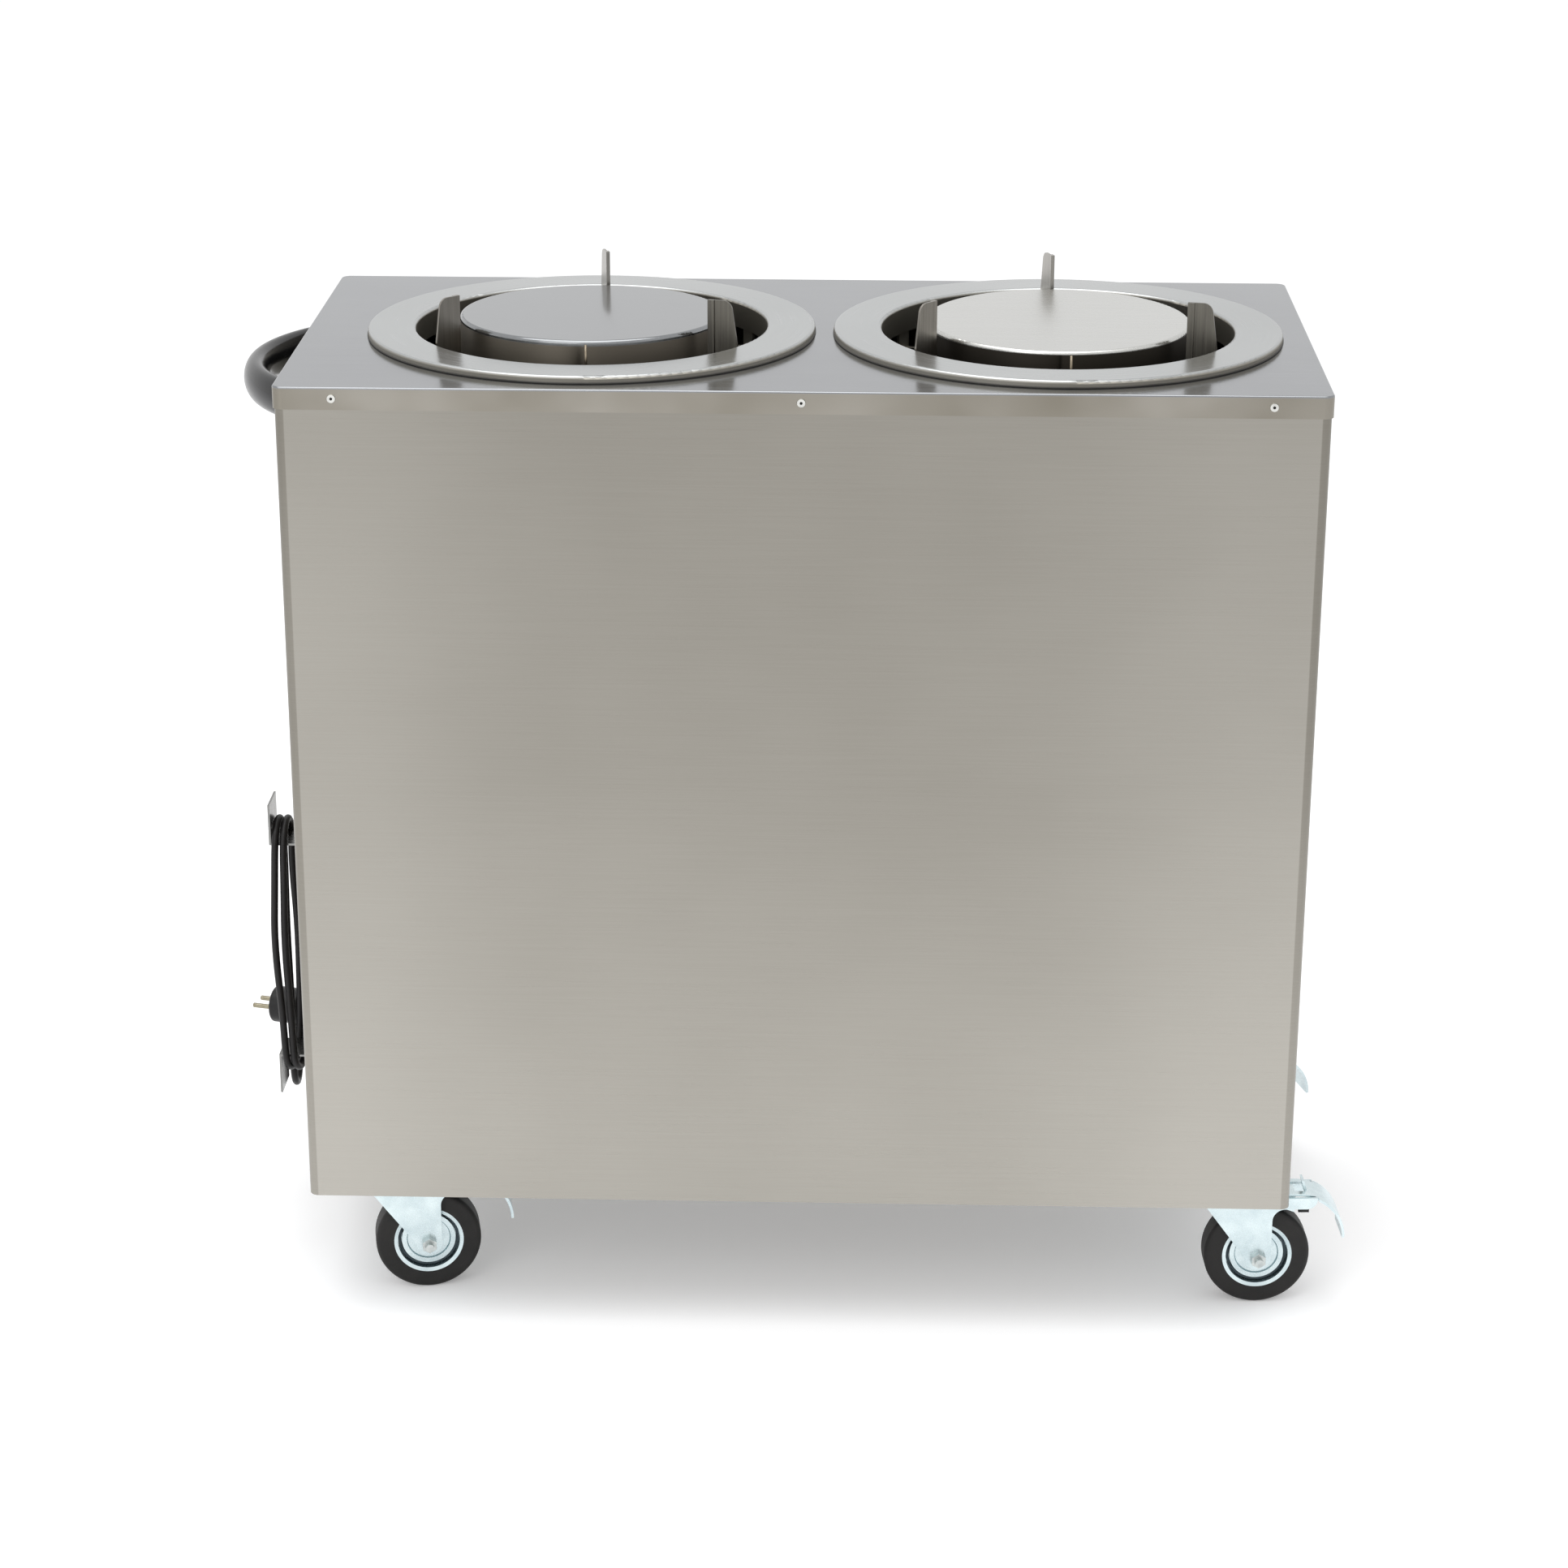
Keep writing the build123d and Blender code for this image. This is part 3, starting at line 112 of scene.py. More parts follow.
def add_node(
    tree: bpy.types.NodeTree,
    kind: str,
    settings: dict[str, Any] | None = None,
    **inputs: Any,
) -> bpy.types.Node:
    """Add a node with its settings and its inputs.

    Args:
        tree: The node tree that gets the node.
        kind: The node's type name.
        settings: Properties of the node, by name.
        **inputs: Values or sockets to link, by input name with _ for a space, or by
            _0, _1 and so on for an input's place.

    Returns:
        The new node.
    """
    made = tree.nodes.new(kind)
    for name, value in (settings or {}).items():
        setattr(made, name, value)
    for name, value in inputs.items():
        plain = name.strip("_")
        socket = made.inputs[int(plain) if plain.isdigit() else plain.replace("_", " ")]
        if isinstance(value, bpy.types.NodeSocket):
            tree.links.new(value, socket)
        else:
            socket.default_value = value
    return made


def link_object(name: str, data: bpy.types.ID) -> bpy.types.Object:
    """Make an object and put it in the scene.

    Args:
        name: The object's name.
        data: Its mesh, curve, lamp or camera.

    Returns:
        The new object, at the origin.
    """
    made = bpy.data.objects.new(name, data)
    bpy.context.scene.collection.objects.link(made)
    return made


class Growth:
    """A Geometry Nodes tree with named inputs that grows one plain mesh."""

    def __init__(self, name: str) -> None:
        """Start a tree with its group input and output.

        Args:
            name: The tree's name.
        """
        self.tree = bpy.data.node_groups.new(name, "GeometryNodeTree")
        self.tree.interface.new_socket(
            "Geometry", in_out="OUTPUT", socket_type="NodeSocketGeometry"
        )
        self.source = self.tree.nodes.new("NodeGroupInput")
        self.values: dict[str, Any] = {}

    def size(self, name: str, value: float | int | tuple) -> bpy.types.NodeSocket:
        """Add a named input.

        Args:
            name: The input's name.
            value: A length, a count or a vector.

        Returns:
            The socket to link from.
        """
        kind = {int: "NodeSocketInt", float: "NodeSocketFloat", tuple: "NodeSocketVector"}
        made = self.tree.interface.new_socket(
            name, in_out="INPUT", socket_type=kind[type(value)]
        )
        self.values[made.identifier] = value
        return self.source.outputs[name]

    def add(self, kind: str, settings: dict[str, Any] | None = None, **inputs: Any) -> Any:
        """Add a node and return its first output."""
        return add_node(self.tree, kind, settings, **inputs).outputs[0]

    def grow(self, geometry: bpy.types.NodeSocket, material: bpy.types.Material) -> None:
        """End the tree in real geometry with its material.

        Args:
            geometry: The socket that carries the finished shape.
            material: What the shape is made of.
        """
        real = self.add("GeometryNodeRealizeInstances", Geometry=geometry)
        smooth = self.add("GeometryNodeSetShadeSmooth", Geometry=real)
        dressed = self.add("GeometryNodeSetMaterial", Geometry=smooth, Material=material)
        end = self.tree.nodes.new("NodeGroupOutput")
        self.tree.links.new(dressed, end.inputs["Geometry"])

    def piece(self, name: str, place: Matrix) -> bpy.types.Object:
        """Grow one piece as a plain mesh.

        Args:
            name: The piece's name.
            place: Where the grown shape goes.

        Returns:
            The piece, at the origin, with its place in its mesh.
        """
        seed = link_object(f"{name}_seed", bpy.data.meshes.new(f"{name}_seed"))
        modifier = seed.modifiers.new("Growth", "NODES")
        modifier.node_group = self.tree
        for identifier, value in self.values.items():
            modifier[identifier] = value
        bpy.context.view_layer.update()
        grown = seed.evaluated_get(bpy.context.evaluated_depsgraph_get())
        mesh = bpy.data.meshes.new_from_object(grown)
        seed.modifiers.remove(modifier)
        bpy.data.objects.remove(seed)
        mesh.name = name
        mesh.transform(place)
        return link_object(name, mesh)


def dress(node: str, material: bpy.types.Material) -> None:
    """Give a carried-over node its finish.

    Args:
        node: The node's name in the frame.
        material: Its finish.
    """
    shown = frame["nodes"][node]
    if shown.material_slots:
        shown.material_slots[0].material = material
    else:
        shown.data.materials.append(material)


# ---------------------------------------------------------------- finishes


SOFT_NOISE = {"Detail": 2.0, "Roughness": 0.6}
NOISE_REACH = {"From_Min": 0.3, "From_Max": 0.7}  # its values mostly lie between these


class Grain(Enum):
    """Which way the brushing of a sheet runs."""

    LEVEL = "level lines on upright faces"
    LENGTHWISE = "along the cart on level faces"
    UPRIGHT = "up and down"
    ROUND = "round a centre"


class Shader:
    """A material under construction: its tree, its shader and its coordinates."""

    def __init__(self, name: str) -> None:
        """Start a material with a Principled shader that reads Object coordinates.

        Args:
            name: The material's name.
        """
        self.material = bpy.data.materials.new(name)
        self.material.use_nodes = True
        self.tree = self.material.node_tree
        self.tree.nodes.clear()
        self.surface = self.tree.nodes.new("ShaderNodeBsdfPrincipled")
        end = self.tree.nodes.new("ShaderNodeOutputMaterial")
        self.tree.links.new(self.surface.outputs["BSDF"], end.inputs["Surface"])
        self.place = self.tree.nodes.new("ShaderNodeTexCoord").outputs["Object"]

    def add(self, kind: str, settings: dict[str, Any] | None = None, **inputs: Any) -> Any:
        """Add a node and return its first output."""
        return add_node(self.tree, kind, settings, **inputs).outputs[0]

    def stretched(self, scale: tuple[float, float, float], centre: Vector | None = None) -> Any:
        """Move Object coordinates to a centre and scale them along each axis.

        Args:
            scale: Factors for X, Y and Z.
            centre: The new origin, or None for the object's own.

        Returns:
            The coordinates' socket.
        """
        moved = self.add(
            "ShaderNodeVectorMath", {"operation": "SUBTRACT"}, _0=self.place, _1=centre or (0, 0, 0)
        )
        return self.add("ShaderNodeVectorMath", {"operation": "MULTIPLY"}, _0=moved, _1=scale)

    def patches(self, width_mm: float) -> Any:
        """Soft patches.

        Args:
            width_mm: How wide they are.

        Returns:
            A value's socket, from 0 to 1.
        """
        clouds = self.add(
            "ShaderNodeTexNoise", Vector=self.place, Scale=1 / (width_mm * MM), **SOFT_NOISE
        )
        return self.add("ShaderNodeMapRange", Value=clouds, **NOISE_REACH)

    def patchy_colour(self, width_mm: float, light: str, dark: str) -> Any:
        """Colour that drifts between two in soft patches.

        Args:
            width_mm: How wide the patches are.
            light: sRGB hex colour.
            dark: The same.

        Returns:
            The colour's socket.
        """
        mixed = add_node(
            self.tree,
            "ShaderNodeMix",
            {"data_type": "RGBA"},
            _0=self.patches(width_mm),
            _6=linear(dark),
            _7=linear(light),
        )
        return mixed.outputs[2]

    def fine_texture(self, width_mm: float, depth_mm: float, smooth: float, rough: float) -> None:
        """Roughen the surface with an even texture and its relief.

        Args:
            width_mm: How wide the texture's grains are.
            depth_mm: How deep they are.
            smooth: Roughness in the hollows.
            rough: Roughness on the grains.
        """
        grains = self.add(
            "ShaderNodeTexNoise", Vector=self.place, Scale=1 / (width_mm * MM), **SOFT_NOISE
        )
        spread = self.add(
            "ShaderNodeMapRange", Value=grains, To_Min=smooth, To_Max=rough, **NOISE_REACH
        )
        relief = self.add("ShaderNodeBump", Height=grains, Strength=1.0, Distance=depth_mm * MM)
        self.set(Roughness=spread, Normal=relief)

    def set(self, **inputs: Any) -> None:
        """Set or link inputs of the Principled shader.

        Args:
            **inputs: Values or sockets, by input name with _ for a space.
        """
        for name, value in inputs.items():
            socket = self.surface.inputs[name.replace("_", " ")]
            if isinstance(value, bpy.types.NodeSocket):
                self.tree.links.new(value, socket)
            else:
                socket.default_value = value


@dataclass(frozen=True)
class BrushedSteel:
    """Stainless steel sheet, belt-brushed or spun: fine parallel lines that smear reflections."""

    name: str
    light: str
    dark: str
    grain: Grain
    roughness: float = 0.30
    anisotropy: float = 0.6
    line_width_mm: float = 1.3  # real ones are 0.1 mm, drawn as wide as a render shows
    line_length_mm: float = 90.0
    line_depth_mm: float = 0.004
    cloud_mm: float = 260.0
    cloud_share: float = 0.3  # how much of the colour drift is soft clouds
    band_share: float = 0.0  # how much of it is a broad darker upright band: a painted reflection
    band_x: float = -0.10
    band_inner: float = 0.10  # half widths between which the band fades out
    band_outer: float = 0.34
    fade_share: float = 0.0  # how much of it is painted light: lighter from this height down to the floor
    fade_height: float = 0.60
    fade_foot: float = 0.10
    bend_share: float = 0.0  # how much darker it is round the upright bends at its ends
    bend_x: float = 0.4456
    shade_below: float = 0.0  # height under which the sheet turns down and takes painted shade in its colour, with its own roughness
    # Painted shade on the turned-down side: its light and dark colours.
    shade_colour: str = "8f8b83"
    shade_dark: str = "7f7b73"
    side_roughness: float = 0.3
    side_blend_mm: float = 1.0
    centre: tuple[float, float] = (0.0, 0.0)
    round_streaks: float = 2.0  # lines in a radian of a circle round the centre

    def lines(self, shader: Shader) -> Any:
        """Coordinates that are stretched along the grain, a unit to a line.

        Args:
            shader: The finish under construction.

        Returns:
            Their socket.
        """
        fine, long = 1 / (self.line_width_mm * MM), 1 / (self.line_length_mm * MM)
        if self.grain is not Grain.ROUND:
            scale = {
                Grain.LEVEL: (long, long, fine),
                Grain.LENGTHWISE: (long, fine, fine),
                Grain.UPRIGHT: (fine, fine, long),
            }[self.grain]
            return shader.stretched(scale)
        flat = shader.stretched((1, 1, 0), Vector((*self.centre, 0)))
        reach = add_node(
            shader.tree, "ShaderNodeVectorMath", {"operation": "LENGTH"}, _0=flat
        ).outputs["Value"]
        parts = add_node(shader.tree, "ShaderNodeSeparateXYZ", Vector=flat).outputs
        angle = shader.add("ShaderNodeMath", {"operation": "ARCTAN2"}, _0=parts[1], _1=parts[0])
        across = shader.add("ShaderNodeMath", {"operation": "MULTIPLY"}, _0=reach, _1=fine)
        along = shader.add(
            "ShaderNodeMath", {"operation": "MULTIPLY"}, _0=angle, _1=self.round_streaks
        )
        return shader.add("ShaderNodeCombineXYZ", X=across, Y=along)

    def tangent(self, shader: Shader) -> Any:
        """Direction of the brushing on the surface.

        Args:
            shader: The finish under construction.

        Returns:
            Its socket.
        """
        if self.grain is Grain.ROUND:
            return shader.add(
                "ShaderNodeVectorMath",
                {"operation": "CROSS_PRODUCT"},
                _0=(0, 0, 1),
                _1=shader.stretched((1, 1, 0), Vector((*self.centre, 0))),
            )
        normal = shader.tree.nodes.new("ShaderNodeNewGeometry").outputs["Normal"]
        # A little off the axes, so that it is never in line with a flat face's normal.
        across = {
            Grain.LEVEL: (0.02, 0.03, 1.0),
            Grain.LENGTHWISE: (0.02, 1.0, 0.03),
            Grain.UPRIGHT: (1.0, 0.9, 0.03),
        }[self.grain]
        return shader.add(
            "ShaderNodeVectorMath", {"operation": "CROSS_PRODUCT"}, _0=across, _1=normal
        )

    def drift(self, shader: Shader, place: Any, lines: Any, clouds: Any) -> Any:
        """Weigh all that makes the sheet lighter or darker.

        Args:
            shader: The finish under construction.
            place: Sockets of X, Y and Z.
            lines: The brushing.
            clouds: Soft patches.

        Returns:
            Socket of a value, 0 where the sheet is dark and 1 where it is light.
        """
        parts = [(clouds, self.cloud_share)]
        # A broad upright band of painted reflection, darkest in its middle.
        if self.band_share:
            away = shader.add(
                "ShaderNodeMath", {"operation": "SUBTRACT"}, _0=place[0], _1=self.band_x
            )
            band = shader.add(
                "ShaderNodeMapRange",
                {"interpolation_type": "SMOOTHSTEP"},
                Value=shader.add("ShaderNodeMath", {"operation": "ABSOLUTE"}, _0=away),
                From_Min=self.band_inner,
                From_Max=self.band_outer,
            )
            parts.append((band, self.band_share))
        # Painted light: lighter towards the floor.
        if self.fade_share:
            fade = shader.add(
                "ShaderNodeMapRange",
                Value=place[2],
                From_Min=self.fade_height,
                From_Max=self.fade_foot,
            )
            parts.append((fade, self.fade_share))
        if self.bend_share:
            flat = shader.add(
                "ShaderNodeMapRange",
                Value=shader.add("ShaderNodeMath", {"operation": "ABSOLUTE"}, _0=place[0]),
                From_Min=self.bend_x + MM,
                From_Max=self.bend_x,
            )
            parts.append((flat, self.bend_share))
        line_share = 1.0 - sum(share for _, share in parts)
        spread = shader.add("ShaderNodeMapRange", Value=lines, **NOISE_REACH)
        total: Any = 0.0
        for value, share in [(spread, line_share), *parts]:
            total = shader.add(
                "ShaderNodeMath", {"operation": "MULTIPLY_ADD"}, _0=value, _1=share, _2=total
            )
        return total

    def material(self) -> bpy.types.Material:
        """Build the finish.

        Returns:
            Its material.
        """
        shader = Shader(self.name)
        place = add_node(shader.tree, "ShaderNodeSeparateXYZ", Vector=shader.place).outputs
        lines = shader.add(
            "ShaderNodeTexNoise", Vector=self.lines(shader), Scale=1.0, Detail=3.0, Roughness=0.6
        )
        clouds = shader.patches(self.cloud_mm)
        two_tone = {"data_type": "RGBA"}
        colour = add_node(
            shader.tree,
            "ShaderNodeMix",
            two_tone,
            _0=self.drift(shader, place, lines, clouds),
            _6=linear(self.dark),
            _7=linear(self.light),
        ).outputs[2]
        rough = shader.add(
            "ShaderNodeMapRange",
            Value=lines,
            To_Min=self.roughness - 0.03,
            To_Max=self.roughness + 0.04,
            **NOISE_REACH,
        )
        # Painted shade: under that height the colour turns to the darker side colours, and the
        # roughness to its own.
        if self.shade_below:
            top = shader.add(
                "ShaderNodeMapRange",
                Value=place[2],
                From_Min=self.shade_below - self.side_blend_mm * MM,
                From_Max=self.shade_below,
            )
            side = add_node(
                shader.tree,
                "ShaderNodeMix",
                two_tone,
                _0=clouds,
                _6=linear(self.shade_dark),
                _7=linear(self.shade_colour),
            ).outputs[2]
            colour = add_node(
                shader.tree, "ShaderNodeMix", two_tone, _0=top, _6=side, _7=colour
            ).outputs[2]
            rough = shader.add("ShaderNodeMix", _0=top, _2=self.side_roughness, _3=rough)
        shader.set(
            Base_Color=colour,
            Metallic=1.0,
            Roughness=rough,
            Anisotropic=self.anisotropy,
            Tangent=self.tangent(shader),
            Normal=shader.add(
                "ShaderNodeBump", Height=lines, Strength=1.0, Distance=self.line_depth_mm * MM
            ),
        )
        return shader.material


@dataclass(frozen=True)
class MottledMetal:
    """Bare, plated or tinted metal whose colour drifts in soft patches."""

    name: str
    light: str
    dark: str
    roughness: float
    patch_mm: float = 18.0
    pit_mm: float = 0.9
    pit_depth_mm: float = 0.01

    def material(self) -> bpy.types.Material:
        """Build the finish.

        Returns:
            Its material.
        """
        shader = Shader(self.name)
        shader.set(
            Base_Color=shader.patchy_colour(self.patch_mm, self.light, self.dark), Metallic=1.0
        )
        shader.fine_texture(
            self.pit_mm, self.pit_depth_mm, self.roughness - 0.05, self.roughness + 0.07
        )
        return shader.material


@dataclass(frozen=True)
class Moulding:
    """Moulded plastic or rubber: one colour with a slight drift, and a fine skin texture."""

    name: str
    light: str
    dark: str
    roughness: float
    skin_mm: float = 1.0  # a spark-eroded mould's texture is finer than a render shows
    skin_depth_mm: float = 0.02
    gloss_coat: float = 0.0
    patch_mm: float = 30.0
    index: float = 1.5  # of refraction

    def material(self) -> bpy.types.Material:
        """Build the finish.

        Returns:
            Its material.
        """
        shader = Shader(self.name)
        shader.set(
            Base_Color=shader.patchy_colour(self.patch_mm, self.light, self.dark),
            Coat_Weight=self.gloss_coat,
            Coat_Roughness=0.08,
            IOR=self.index,
        )
        shader.fine_texture(
            self.skin_mm, self.skin_depth_mm, self.roughness - 0.04, self.roughness + 0.06
        )
        return shader.material


# ---------------------------------------------------------------- studio


@dataclass(frozen=True)
class SoftBox:
    """Square area lamp, faced at the middle of the cart."""

    name: str
    place: tuple[float, float, float]
    side: float  # metres
    power: float  # watts


@dataclass
class Studio:
    """Floor, lamps, world and camera."""

    floor_half: float = 9.0
    paper: str = "fafafb"
    paper_lift: float = 0.19  # added where the floor is seen, so that it meets the white world
    world_strength: float = 0.85
    aim: tuple[float, float, float] = (0.0, 0.0, 0.5)
    boxes: tuple[SoftBox, ...] = (
        SoftBox("top_box", (-0.3, -0.4, 3.4), 3.0, 62.0),
        SoftBox("front_box", (-1.8, -3.6, 2.4), 2.4, 26.0),
    )
    camera_place: tuple[float, float, float] = (0.06986853, -3.30328786, 1.67302907)
    camera_pitch: float = 20.1437  # degrees down
    camera_yaw: float = -1.5563
    camera_roll: float = 0.1535
    camera_focal: float = 4552.385  # pixels of the 1932-pixel frame
    image_pixels: float = 1932.0
    sensor_mm: float = 36.0

    def camera(self) -> None:
        """Set the camera at the photograph's place and angle."""
        pitch, yaw, roll = (
            radians(a) for a in (self.camera_pitch, self.camera_yaw, self.camera_roll)
        )
        ahead = Vector((sin(yaw) * cos(pitch), cos(yaw) * cos(pitch), -sin(pitch)))
        right = ahead.cross(Vector((0, 0, 1))).normalized()
        up = right.cross(ahead)
        turned_right = right * cos(roll) + up * sin(roll)
        turned_up = up * cos(roll) - right * sin(roll)
        data = bpy.data.cameras.new("camera")
        data.sensor_width = self.sensor_mm
        data.lens = self.camera_focal / self.image_pixels * self.sensor_mm
        data.clip_end = 60.0
        view = link_object("camera", data)
        turn = Matrix((turned_right, turned_up, -ahead)).transposed().to_4x4()
        view.matrix_world = Matrix.Translation(self.camera_place) @ turn
        bpy.context.scene.camera = view

    def seen_directly(self, tree: bpy.types.NodeTree) -> bpy.types.NodeSocket:
        """Tell rays that see a thing from rays that only light it.

        Args:
            tree: The node tree that asks.

        Returns:
            Socket that is 1 for camera, glossy and transmission rays.
        """
        rays = tree.nodes.new("ShaderNodeLightPath").outputs
        seen = rays["Is Camera Ray"]
        for other in ("Is Glossy Ray", "Is Transmission Ray"):
            seen = add_node(
                tree, "ShaderNodeMath", {"operation": "MAXIMUM"}, _0=seen, _1=rays[other]
            ).outputs[0]
        return seen

    def world(self) -> None:
        """White where it is seen, plain soft light elsewhere."""
        world = bpy.data.worlds.new("studio")
        world.use_nodes = True
        tree = world.node_tree
        tree.nodes.clear()
        soft, white = (
            add_node(tree, "ShaderNodeBackground", Color=linear("ffffff"), Strength=strength)
            for strength in (self.world_strength, 1.0)
        )
        mixed = add_node(
            tree,
            "ShaderNodeMixShader",
            _0=self.seen_directly(tree),
            _1=soft.outputs[0],
            _2=white.outputs[0],
        )
        add_node(tree, "ShaderNodeOutputWorld", Surface=mixed.outputs[0])
        bpy.context.scene.world = world

    def floor(self) -> None:
        """Pale floor that keeps the cart's shadow."""
        half = self.floor_half
        mesh = bpy.data.meshes.new("floor")
        corners = [(-half, -half, 0), (half, -half, 0), (half, half, 0), (-half, half, 0)]
        mesh.from_pydata(corners, [], [(0, 1, 2, 3)])
        paper = bpy.data.materials.new("studio_paper")
        paper.use_nodes = True
        tree = paper.node_tree
        tree.nodes.clear()
        matt = add_node(tree, "ShaderNodeBsdfDiffuse", Color=linear(self.paper))
        strength = add_node(
            tree,
            "ShaderNodeMath",
            {"operation": "MULTIPLY"},
            _0=self.seen_directly(tree),
            _1=self.paper_lift,
        )
        glow = add_node(
            tree, "ShaderNodeEmission", Color=linear("ffffff"), Strength=strength.outputs[0]
        )
        both = add_node(tree, "ShaderNodeAddShader", _0=matt.outputs[0], _1=glow.outputs[0])
        add_node(tree, "ShaderNodeOutputMaterial", Surface=both.outputs[0])
        mesh.materials.append(paper)
        link_object("floor", mesh)

    def lamps(self) -> None:
        """Hang the soft boxes."""
        for box in self.boxes:
            data = bpy.data.lights.new(box.name, "AREA")
            data.shape = "SQUARE"
            data.size = box.side
            data.energy = box.power
            place = Vector(box.place)
            turn = (Vector(self.aim) - place).to_track_quat("-Z", "Y").to_matrix().to_4x4()
            link_object(box.name, data).matrix_world = Matrix.Translation(place) @ turn

    def build(self) -> None:
        """Set up camera, world, floor and lamps."""
        self.camera()
        self.world()
        self.floor()
        self.lamps()
        bpy.context.scene.view_settings.view_transform = "Standard"


# ---------------------------------------------------------------- cabinet


@dataclass
class Cabinet:
    """Sheet-metal body, its cover and its rivets."""

    rivet_end_x: float = 0.404
    rivet_side_y: float = 0.150
    rivet_z: float = 0.890
    mandrel_radius: float = 0.00125
    mandrel_long: float = 0.0006

    def mandrels(self, steel: bpy.types.Material) -> None:
        """Broken-off mandrel ends in the middle of the rivet heads, darkened as painted shade of
        their hollows.

        Args:
            steel: Their material.
        """
        low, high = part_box("top_cover")
        spots = []
        for x in (-self.rivet_end_x, 0.0, self.rivet_end_x):
            spots.append(((x, low.y, self.rivet_z), Matrix.Rotation(pi / 2, 4, "X")))
            spots.append(((x, high.y, self.rivet_z), Matrix.Rotation(-pi / 2, 4, "X")))
        for y in (-self.rivet_side_y, self.rivet_side_y):
            spots.append(((low.x, y, self.rivet_z), Matrix.Rotation(-pi / 2, 4, "Y")))
            spots.append(((high.x, y, self.rivet_z), Matrix.Rotation(pi / 2, 4, "Y")))
        growth = Growth("mandrel_end")
        radius = growth.size("Radius", self.mandrel_radius)
        deep = growth.size("Depth", self.mandrel_long)
        disc = growth.add("GeometryNodeMeshCylinder", Vertices=12, Radius=radius, Depth=deep)
        growth.grow(disc, steel)
        for number, (spot, turn) in enumerate(spots):
            piece = growth.piece(f"rivet_mandrel_{number}", Matrix.Translation(spot) @ turn)
            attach(piece, "root")

    def build(self) -> None:
        """Dress the sheet metal."""
        # Stainless sheet with a belt-brushed grit 240 finish: level lines, warm grey.
        panel = BrushedSteel(
            "stainless_brushed_240",
            "b0ada6",
            "6f6b62",
            Grain.LEVEL,
            cloud_share=0.08,
            # A broad darker upright band of painted reflection.
            band_share=0.18,
            band_x=-0.02,
            band_inner=0.18,
            band_outer=0.42,
            # Painted light: lighter towards the floor.
            fade_share=0.35,
            fade_height=0.54,
            bend_share=0.33,
        ).material()
        for name in ("front_panel", "back_panel", "left_side_panel", "right_side_panel"):
            dress(name, panel)
        # Stainless sheet, fine satin polish: cooler, with soft mirror images of what stands on it.
        cover = BrushedSteel(
            "stainless_satin_polish",
            "929497",
            "85878a",
            Grain.LENGTHWISE,
            roughness=0.16,
            anisotropy=0.3,
            line_depth_mm=0.0015,
            # Painted shade: the turned-down flange is darker and warmer.
            shade_below=0.8988,
            shade_colour="9b978f",
            shade_dark="7f7a6f",
            side_roughness=0.34,
            cloud_mm=120.0,
        ).material()
        dress("top_cover", cover)
        # Mill finish, as it comes from the rolls: dull and cloudy.
        mill = MottledMetal("stainless_mill_finish", "8f8c86", "78756f", 0.42, 60.0).material()
        dress("base_plate", mill)
        dress("corner_posts", mill)
        # Drawn aluminium rivet heads: pale and satin.
        rivets = MottledMetal("drawn_aluminium", "dfdfda", "c8c8c4", 0.3, 5.0).material()
        dress("blind_rivets", rivets)
        # Steel mandrels, broken off: rough, and dark with painted shade of the rivets' hollow
        # middles.
        self.mandrels(MottledMetal("broken_steel", "4c4a48", "2a2928", 0.55, 1.0).material())


# ---------------------------------------------------------------- wells


